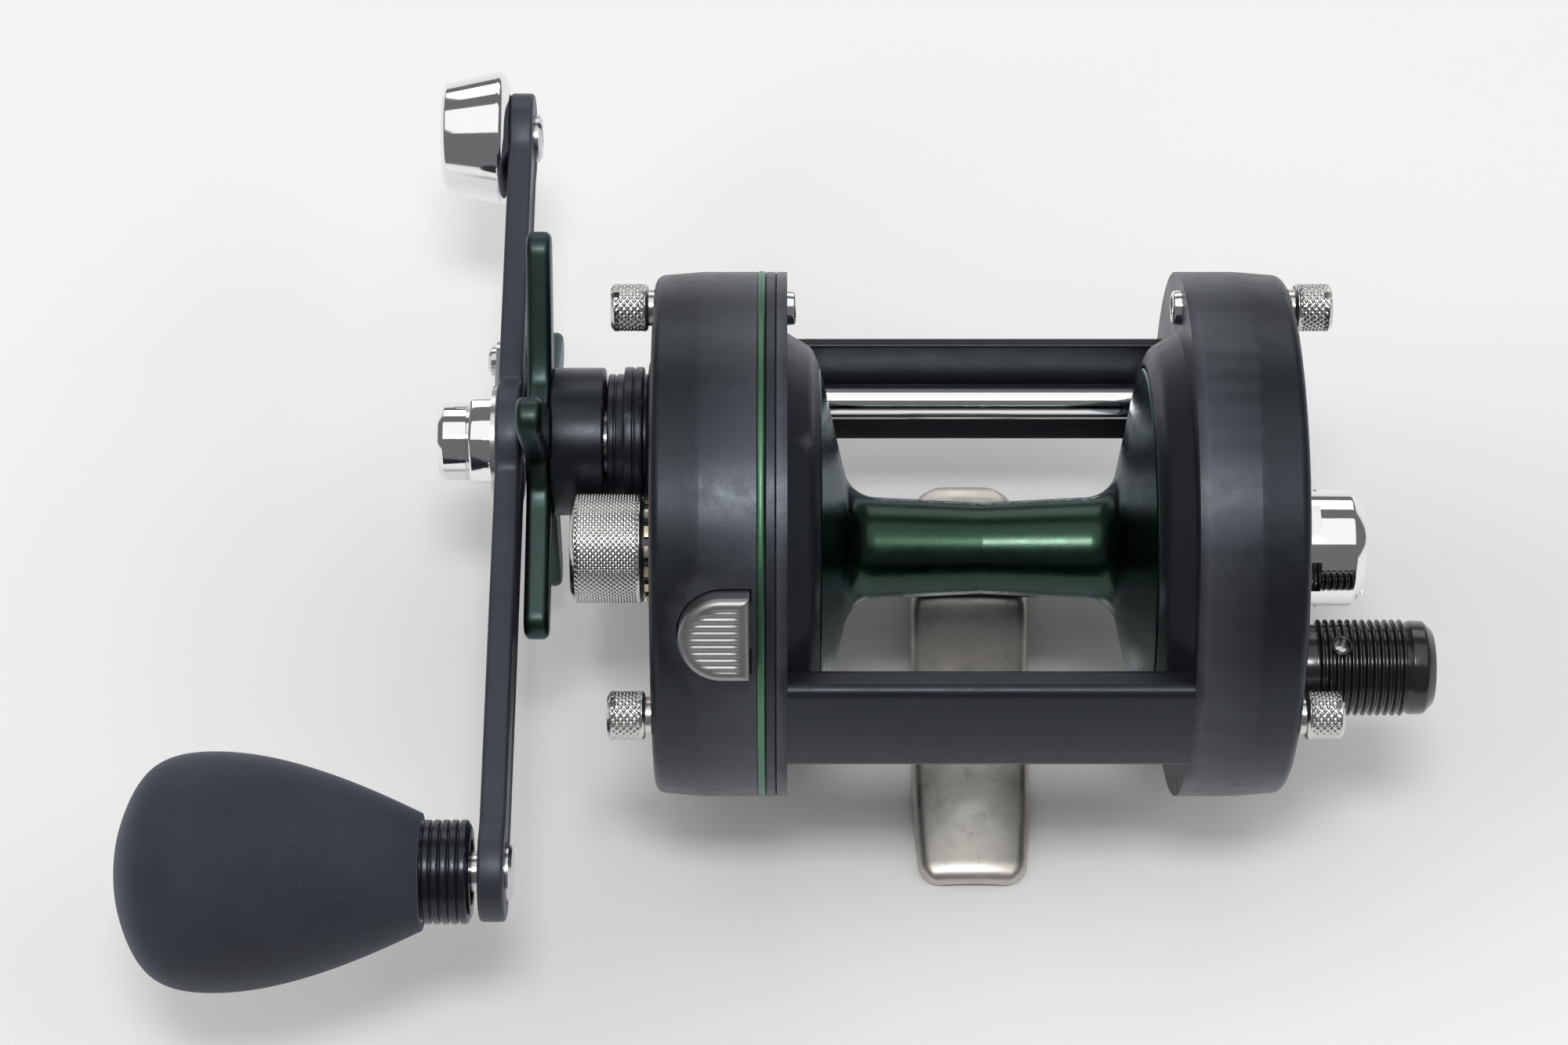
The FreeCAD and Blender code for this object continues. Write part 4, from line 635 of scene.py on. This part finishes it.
def shaft_housing():
    """The stepped housing round the drive shaft, with fine grooves between its steps."""
    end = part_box("shaft_housing")[0].x / MM
    cover = end + 6.5
    bore, spigot, flange, step, barrel = 6.0, 6.6, 10.4, 9.7, 8.8
    lines = [(cover + 1.7, bore, 0), (cover + 1.7, spigot, 0), (cover, spigot, 0), (cover, flange, 0),
             (cover - 1.2, flange, 0.25), (cover - 1.4, barrel, 0.1), (cover - 1.9, barrel, 0.1),
             (cover - 1.9, step, 0.2), (cover - 2.9, step, 0.08), (cover - 3.0, step - 0.2, 0.05),
             (cover - 3.2, step - 0.2, 0.05), (cover - 3.3, step, 0.08), (cover - 4.4, step, 0.2),
             (cover - 4.4, barrel, 0.1), (cover - 5.3, barrel, 0.05), (cover - 5.4, barrel - 0.2, 0.05),
             (cover - 5.6, barrel - 0.2, 0.05), (cover - 5.7, barrel, 0.05), (end, barrel, 0.2),
             (end, bore, 0), (cover + 1.7, bore, 0)]
    stand_for(lathe("shaft_housing_looks", lines, axis_of("shaft_housing"), 160, steps=3), "shaft_housing")


def star_collar():
    """The plain black collar behind the star, open towards the cover."""
    low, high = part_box("star_collar")
    start, end, outer = high.x / MM, low.x / MM, radius_of("star_collar") / MM
    mouth, bore, depth = 8.0, 4.6, 2.7
    stand_for(lathe("star_collar_looks", [
        (start, mouth, 0.1), (start, outer, 0.35), (end, outer, 0.35), (end, bore, 0),
        (start - depth, bore, 0), (start - depth, mouth, 0), (start, mouth, 0)],
        axis_of("star_collar"), 160), "star_collar")


def palm_cap():
    """The polished bearing cap: a broad bevel, a slot across its end, and six wrench flats."""
    low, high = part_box("palm_cap")
    start, end, outer = low.x / MM, high.x / MM, radius_of("palm_cap") / MM
    hollow, neck, end_thick = 5.3, outer - 1.3, 2.2
    cap = lathe("palm_cap_looks", [
        (start, hollow, 0), (start, neck, 0.2), (start + 1.0, neck, 0.2),
        (start + 2.6, outer, 0.35), (end - 1.5, outer, 0.6), (end, neck, 0.4), (end, 0, 0),
        (end - end_thick, 0, 0), (end - end_thick, hollow, 0), (start, hollow, 0)],
        axis_of("palm_cap"), 160, steps=4)
    slots = bmesh.new()
    middle = Matrix.Translation((high.x, *axis_of("palm_cap")))
    add_block(slots, middle, 2.4 * MM, 18 * MM, 1.4 * MM)
    for number in range(6):
        turn = Matrix.Rotation(TURN * (number + 0.5) / 6, 4, "X")
        flat = Matrix.Translation((-7.5 * MM, (outer + 1.7) * MM, 0))
        add_block(slots, middle @ turn @ flat, 3.4 * MM, 4 * MM, 16 * MM)
    carve(cap, slots)
    stand_for(cap, "palm_cap")


def brake_knob():
    """The brake's ribbed knob: plain root, fine ribs, smooth end, and a rimmed hole for the grub screw."""
    low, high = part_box("brake_knob")
    start, end, outer = low.x / MM, high.x / MM, radius_of("brake_knob") / MM
    bore, depth, ribs, pitch, groove = 2.0, 3, 12, 0.92, outer - 0.55
    corners = [(start, bore, 0), (start, outer - 0.6, 0.2), (start + 2.2, outer - 0.6, 0.2)]
    for rib in range(ribs):
        crest = start + 2.85 + rib * pitch
        corners += [(crest - 0.32, groove, 0.08), (crest - 0.08, outer, 0.1),
                    (crest + 0.12, outer, 0.1), (crest + 0.36, groove, 0.08)]
    corners += [(end - 2.9, outer - 0.15, 0.3), (end - 1.2, outer - 0.2, 0.6), (end, outer - 1.4, 0.6),
                (end, 0, 0), (end - depth, 0, 0), (end - depth, bore, 0), (start, bore, 0)]
    knob = lathe("brake_knob_body", corners, axis_of("brake_knob"), 144, steps=3, sharp=50)
    y, z = axis_of("brake_knob")
    place = Vector(((start + 5.2) * MM, y, z + (outer - 0.8) * MM))
    hole = bmesh.new()
    add_cylinder(hole, Matrix.Translation(place), 0.9 * MM, 6 * MM, 40)
    carve(knob, hole)
    mesh = bmesh.new()
    mesh.from_mesh(knob.data)
    bpy.data.objects.remove(knob)
    rim_radius, rim_wire, rim_height, around, across = 1.15, 0.25, 0.5, 40, 10
    rim = []
    for first in range(around):
        turn = TURN * first / around
        ring = []
        for step in range(across):
            bend = TURN * step / across
            reach = rim_radius + rim_wire * math.cos(bend)
            ring.append(mesh.verts.new(place + Vector((reach * math.cos(turn), reach * math.sin(turn),
                                                       rim_height + rim_wire * math.sin(bend))) * MM))
        rim.append(ring)
    for first, second in zip(rim, rim[1:] + rim[:1]):
        for step in range(across):
            after = (step + 1) % across
            mesh.faces.new((first[step], second[step], second[after], first[after]))
    stand_for(finish_mesh("brake_knob_looks", mesh, 50), "brake_knob")


# ---------------------------------------------------------------- handle and star

def star_wheel():
    """The star: long arms with round tips that flow into a round hub, well rounded along every edge."""
    low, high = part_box("star_wheel")
    centre = axis_of("shaft_housing")
    reach, half, hub, arms = 27.5 * MM, 2.6 * MM, 9.0 * MM, 5
    tip = reach - half
    first_arm, ease, bore = math.radians(114.5), 0.9 * MM, 3.2 * MM
    crotch_steps, arm_steps, tip_steps, blend = 9, 14, 8, 8

    def flared(length):
        """Half an arm's width, which grows towards the hub."""
        return half + 0.9 * MM * max(tip - length, 0) / (tip - 5 * MM)

    side = []
    for step in range(crotch_steps):
        turn = math.pi / arms * (1 - step / crotch_steps) + 0.36 * step / crotch_steps
        far = flared(hub) / math.sin(turn)
        grown = (hub ** blend + min(far, hub * 1.1) ** blend) ** (1 / blend)
        side.append((grown * math.cos(turn), grown * math.sin(turn)))
    for step in range(arm_steps):
        length = hub * 1.06 + (tip - hub * 1.06) * step / (arm_steps - 1)
        width = flared(length)
        far = math.hypot(length, width)
        grown = (hub ** blend + far ** blend) ** (1 / blend) / far
        side.append((length * grown, width * grown))
    for step in range(1, tip_steps):
        turn = math.pi / 2 * (1 - step / tip_steps)
        side.append((tip + half * math.cos(turn), half * math.sin(turn)))
    spots = [(length, -width) for length, width in side] + [(reach, 0)]
    spots += [(length, width) for length, width in reversed(side)][:-1]

    outline = []
    for arm in range(arms):
        outward = Vector((1, 0))
        outward.rotate(Matrix.Rotation(first_arm + TURN * arm / arms, 2))
        across = Vector((-outward.y, outward.x))
        outline += [Vector(centre) + outward * length + across * width for length, width in spots]
    mesh = bmesh.new()
    slab(mesh, outline, high.x, low.x, ease, ease, 6)
    star = finish_mesh("star_wheel_looks", mesh, 40)
    hole = bmesh.new()
    add_cylinder(hole, Matrix.Translation((low.x, *centre)) @ ALONG_X, bore, 12 * MM, 64)
    carve(star, hole)
    stand_for(star, "star_wheel")


def handle_arm():
    """The double arm: a bar that swells round the shaft and at both ends, with eased edges."""
    low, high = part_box("handle_arm")
    middle_z = (low.z + high.z) / 2
    end, hub, bar, ease, blend = 6.1 * MM, 8.0 * MM, 4.7 * MM, 0.5 * MM, 14
    knob_y, weight_y = low.y + end, high.y - end
    hub_y = axis_of("shaft_housing")[0]
    retainer_y = hub_y + 12.4 * MM

    def swell(y, centre, radius):
        """Half the width of a round part at a place along the arm."""
        return math.sqrt(max(radius ** 2 - (y - centre) ** 2, 0))

    def width(y):
        """Half the arm's width at a place along it, where the round parts and the bar flow together."""
        parts = [swell(y, knob_y, end), swell(y, weight_y, end), swell(y, hub_y, hub)]
        if knob_y <= y <= weight_y:
            parts.append(bar)
        return sum(part ** blend for part in parts) ** (1 / blend)

    turns, count = 14, 150
    places = [knob_y - end * math.cos(math.pi / 2 * step / turns) for step in range(turns)]
    places += [knob_y + (weight_y - knob_y) * step / count for step in range(count + 1)]
    places += [weight_y + end * math.sin(math.pi / 2 * step / turns) for step in range(1, turns + 1)]
    under = [Vector((y, middle_z - width(y))) for y in places]
    over = [Vector((y, middle_z + width(y))) for y in reversed(places)][1:-1]
    mesh = bmesh.new()
    slab(mesh, under + over, high.x, low.x, ease, ease, 4)
    arm = finish_mesh("handle_arm_looks", mesh, 40)
    holes = bmesh.new()
    for y, radius in ((hub_y, 3.0), (knob_y, 2.5), (weight_y, 2.0), (retainer_y, 1.0)):
        place = Matrix.Translation((low.x, y, middle_z)) @ ALONG_X
        add_cylinder(holes, place, radius * MM, 14 * MM, 48)
    carve(arm, holes)
    stand_for(arm, "handle_arm")


def counterweight():
    """The polished counterweight: a cone with a soft bevel at its outer end and a rolled lip."""
    low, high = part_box("counterweight")
    start, end, large = high.x / MM, low.x / MM, radius_of("counterweight") / MM
    small, bore, depth = 7.4, 2.0, 3
    stand_for(lathe("counterweight_looks", [
        (start, bore, 0), (start, large - 2.2, 0.5), (start - 1.0, large, 0.9),
        (end + 0.5, small + 0.1, 0.35), (end, small - 0.5, 0.3), (end, 0, 0), (end + depth, 0, 0),
        (end + depth, bore, 0), (start, bore, 0)], axis_of("counterweight"), 192), "counterweight")


def handle_nut():
    """The handle nut: a hexagon with eased corners, and a polished barrel with a bevelled end."""
    low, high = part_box("handle_nut")
    centre = axis_of("handle_nut")
    start, end = high.x, low.x
    joint = start - 3.6 * MM
    corner, corner_turn, barrel = 10.8 / math.sqrt(3) * MM, 0.04, 5.0
    hexagon = []
    for number in range(6):
        hexagon += arc(centre, corner - 0.1 * MM, TURN * number / 6 - corner_turn, corner_turn * 2, 5)
    mesh = bmesh.new()
    slab(mesh, hexagon, start, joint, 0.15 * MM, 0.5 * MM, 4)
    inner, outer = joint / MM, end / MM
    line = rounded(in_metres([
        (inner + 0.4, 0, 0), (inner + 0.4, barrel - 0.2, 0), (inner - 0.2, barrel - 0.2, 0.1),
        (inner - 0.35, barrel, 0.1), (outer + 0.7, barrel, 0.3), (outer, barrel - 0.6, 0.15), (outer, 0, 0)]))
    lathe_into(mesh, line, centre, 96)
    stand_for(finish_mesh("handle_nut_looks", mesh, 30), "handle_nut")


def knob_ferrule():
    """The ferrule's fine turned rings, and the core tube inside the grip."""
    low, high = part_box("knob_ferrule")
    start, outer = high.x / MM, radius_of("knob_ferrule") / MM
    end, rings, pitch = start - 6.1, 5, 1.1
    bore, tube, groove = 4.1, 5.5, outer - 0.4
    corners = [(start, bore, 0), (start, outer - 0.9, 0.15), (start - 0.35, outer - 0.25, 0.1)]
    for ring in range(rings):
        crest = start - 0.5 - ring * pitch
        corners += [(crest, outer - 0.05, 0.15), (crest - 0.75, outer, 0.15),
                    (crest - 0.85, groove, 0.05), (crest - 1.0, groove, 0.05)]
    corners += [(end, outer - 0.2, 0), (end, tube, 0), (low.x / MM, tube, 0), (low.x / MM, bore, 0),
                (start, bore, 0)]
    stand_for(lathe("knob_ferrule_looks", corners, axis_of("knob_ferrule"), 128, steps=3), "knob_ferrule")


# ---------------------------------------------------------------- button and foot

def free_spool_button():
    """The thumb button: a low D-shaped dome, its rim rounded and its top cut with fine ribs."""
    lean, axle = math.radians(140.7), axis_of("trim_ring")[1] / MM
    start, end, half = -29.1, -37.7, 5.3
    foot, top, soft = 31.0, 36.15, 0.9
    margin, fade, rib_depth, rib_pitch = 1.15, 0.4, 0.09, 0.88
    rows, columns = 120, 26
    mesh = bmesh.new()

    def raised(x, side):
        """The top's height: it falls away near the outline, and ribs run along X inside it."""
        round_x = end + half
        if x < round_x:
            near = half - math.hypot(x - round_x, side)
        else:
            near = min(half - abs(side), start - x)
        near = max(near, 0)
        drop = soft - math.sqrt(max(soft ** 2 - max(soft - near, 0) ** 2, 0))
        inside = min(max((near - margin) / fade, 0), 1)
        return top - drop - rib_depth * inside * (1 - math.cos(TURN * side / rib_pitch))

    def spot(x, side, out):
        """A point of the button, given along X, across it and out from the spool's axis."""
        return (x * MM, (out * math.cos(lean) - side * math.sin(lean)) * MM,
                (axle + out * math.sin(lean) + side * math.cos(lean)) * MM)

    grid = []
    for row in range(rows + 1):
        side = -half * math.cos(math.pi * row / rows)
        far = end + half - math.sqrt(max(half ** 2 - side ** 2, 0))
        shares = [(1 - math.cos(math.pi * column / columns)) / 2 for column in range(columns + 1)]
        grid.append([(start + (far - start) * share, side) for share in shares])
    upper = [[mesh.verts.new(spot(x, side, raised(x, side))) for x, side in line] for line in grid]
    lower = [[mesh.verts.new(spot(x, side, foot)) for x, side in line] for line in grid]
    close_grids(mesh, upper, lower)
    stand_for(finish_mesh("free_spool_button_looks", mesh, 60), "free_spool_button")


def height_at(points, place):
    """The height at a place on a smooth line through (place, height) points."""
    for (x0, y0), (x1, y1) in zip(points, points[1:]):
        if place <= x1:
            share = min(max((place - x0) / (x1 - x0), 0), 1)
            return y0 + (y1 - y0) * share * share * (3 - 2 * share)
    return points[-1][1]


def reel_foot():
    """The foot: a stamped blade with soft edges and a hollow sole, and the pillar under the cage."""
    low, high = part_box("reel_foot")
    rear, front, half = low.y / MM, high.y / MM, high.x / MM
    top, blade, thin = high.z / MM, 3.55, 1.2
    ramp, behind = -5.0, 19.0
    rear_corner, front_corner, soft, crown = 3.0, 5.0, 1.3, 0.9
    sole_radius, sole_centre = 21.0, 20.0
    heights = [(rear, 2.5), (rear + 2.5, 2.95), (rear + 14, blade), (ramp, blade), (6.9, top), (16.9, top),
               (17.5, 8.0), (18.4, blade), (front - 3, 2.7), (front, 2.1)]
    widths = [(rear, half - 0.75), (rear + 13, half), (0.5, half), (front, half - 0.5)]
    rows = [rear + rear_corner * (1 - math.cos(math.pi / 2 * step / 10)) for step in range(10)]
    rows += [rear + rear_corner + (ramp - rear - rear_corner) * step / 30 for step in range(30)]
    rows += [ramp + (behind - ramp) * step / 160 for step in range(160)]
    rows += [behind + (front - front_corner - behind) * step / 14 for step in range(14)]
    rows += [front - front_corner * (1 - math.sin(math.pi / 2 * step / 14)) for step in range(15)]
    columns = 36
    mesh = bmesh.new()
    upper, lower = [], []
    for y in rows:
        wide = height_at(widths, y)
        for tip, corner in ((rear, rear_corner), (front, front_corner)):
            into = abs(y - tip)
            if into < corner:
                wide -= corner - math.sqrt(max(corner ** 2 - (corner - into) ** 2, 0))
        over, under = [], []
        for column in range(columns + 1):
            x = -wide * math.cos(math.pi * column / columns)
            near = min(wide - abs(x), y - rear, front - y)
            drop = soft - math.sqrt(max(soft ** 2 - max(soft - near, 0) ** 2, 0))
            high_point = height_at(heights, y) - drop - crown * (x / half) ** 2
            sole = max(math.sqrt(sole_radius ** 2 - x ** 2) - sole_centre, 0)
            over.append(mesh.verts.new((x * MM, y * MM, max(high_point, thin) * MM)))
            under.append(mesh.verts.new((x * MM, y * MM, sole * MM)))
        upper.append(over)
        lower.append(under)
    close_grids(mesh, upper, lower)
    stand_for(finish_mesh("reel_foot_looks", mesh, 42), "reel_foot")


# ---------------------------------------------------------------- inside

def yoke_springs():
    """The yoke's two coil springs, built at one fixed length; the mesh does not shorten towards their posts'
    heads as the yoke lifts.
    """
    low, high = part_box("yoke_springs")
    outer, wire, travel = (high.y - low.y) / 2, 0.18 * MM, 1.5 * MM
    coils, steps, around = 5, 24, 10
    mesh = bmesh.new()
    for z in (low.z + outer, high.z - outer):
        rings = []
        for step in range(coils * steps + 1):
            turn = TURN * step / steps
            outward = Vector((0, math.cos(turn), math.sin(turn)))
            x = low.x + wire + (high.x - low.x - 2 * wire) * step / (coils * steps)
            middle = Vector((x, low.y + outer, z)) + outward * (outer - wire)
            bends = [TURN * part / around for part in range(around)]
            rings.append([middle + outward * wire * math.cos(bend) + Vector((wire * math.sin(bend), 0, 0))
                          for bend in bends])
        skin(mesh, rings)
    springs = finish_mesh("yoke_springs_looks", mesh, 60)
    stand_for(springs, "yoke_springs")
    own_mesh(springs)


# ---------------------------------------------------------------- stage

VIEW_ELEVATION = math.radians(60)
VIEW_DISTANCE = 0.4933
VIEW_TARGET = Vector((-0.0250, 0.00127, 0.0407))
SENSOR = 36.0
LENS = 88.8


def towards(elevation, side=0.0):
    """A direction seen from the reel: elevation from the rear horizon, and an angle to the side."""
    flat = math.cos(elevation)
    return Vector((flat * math.sin(side), -flat * math.cos(side), math.sin(elevation)))


def camera():
    """The camera, looking at the reel from behind and above."""
    data = bpy.data.cameras.new("camera")
    data.lens = LENS
    data.sensor_width = SENSOR
    data.clip_start = 0.01
    data.clip_end = 20
    eye = bpy.data.objects.new("camera", data)
    bpy.context.scene.collection.objects.link(eye)
    eye.location = VIEW_TARGET + towards(VIEW_ELEVATION) * VIEW_DISTANCE
    eye.rotation_euler = (math.pi / 2 - VIEW_ELEVATION, 0, 0)
    bpy.context.scene.camera = eye


def area_light(name, elevation, side, distance, width, height, watts, colour=(1, 1, 1), mirrored=True):
    """A soft rectangular light that faces the reel; polished metal mirrors it only if mirrored is true."""
    data = bpy.data.lights.new(name, "AREA")
    data.shape = "RECTANGLE"
    data.size = width
    data.size_y = height
    data.energy = watts
    data.color = colour
    lamp = bpy.data.objects.new(name, data)
    lamp.visible_glossy = mirrored
    bpy.context.scene.collection.objects.link(lamp)
    place = towards(math.radians(elevation), math.radians(side))
    lamp.location = VIEW_TARGET + place * distance
    lamp.rotation_euler = place.to_track_quat("Z", "Y").to_euler()


def lights():
    """A definite key above the camera, a broad tent over the reel, and fill from three sides."""
    area_light("key", 76, 0, 0.9, 0.20, 0.13, 3.0, (1, 0.99, 0.98))
    area_light("tent", 94, 0, 1.1, 1.6, 1.1, 5.0, (1, 1, 1))
    area_light("left", 34, -86, 1.1, 0.9, 0.7, 6.0, (1, 0.99, 0.97), False)
    area_light("right", 34, 86, 1.1, 0.9, 0.7, 5.0, (1, 0.99, 0.97), False)
    area_light("front", 155, 0, 1.1, 1.0, 0.5, 2.4, (1, 0.99, 0.97))
    world = bpy.data.worlds.new("studio")
    world.use_nodes = True
    background = world.node_tree.nodes["Background"]
    background.inputs["Color"].default_value = (0.95, 0.95, 0.97, 1)
    background.inputs["Strength"].default_value = 0.17
    bpy.context.scene.world = world


def floor():
    """A wide pale sheet with the faintest mottling."""
    mesh = bmesh.new()
    bmesh.ops.create_grid(mesh, x_segments=1, y_segments=1, size=4)
    sheet = finish_mesh("floor", mesh)
    tree = Tree("pale_floor")
    tree.colour(tree.ramp(tree.noise(6, 3), (0.715, 0.714, 0.717), (0.740, 0.739, 0.742)))
    tree.set(Roughness=0.85, Specular_IOR_Level=0.15)
    sheet.data.materials.append(tree.material)


bpy.context.scene.view_settings.view_transform = "Standard"
make_materials()
dress_cad_nodes()
trim_ring()
spool()
front_rod()
screw_bushes()
yoke_springs()
shaft_housing()
star_collar()
palm_cap()
brake_knob()
star_wheel()
handle_arm()
counterweight()
handle_nut()
knob_ferrule()
free_spool_button()
reel_foot()
tension_knob()
thumb_screws("gear_side_thumb_screws", -1)
thumb_screws("palm_side_thumb_screws", 1)
camera()
lights()
floor()
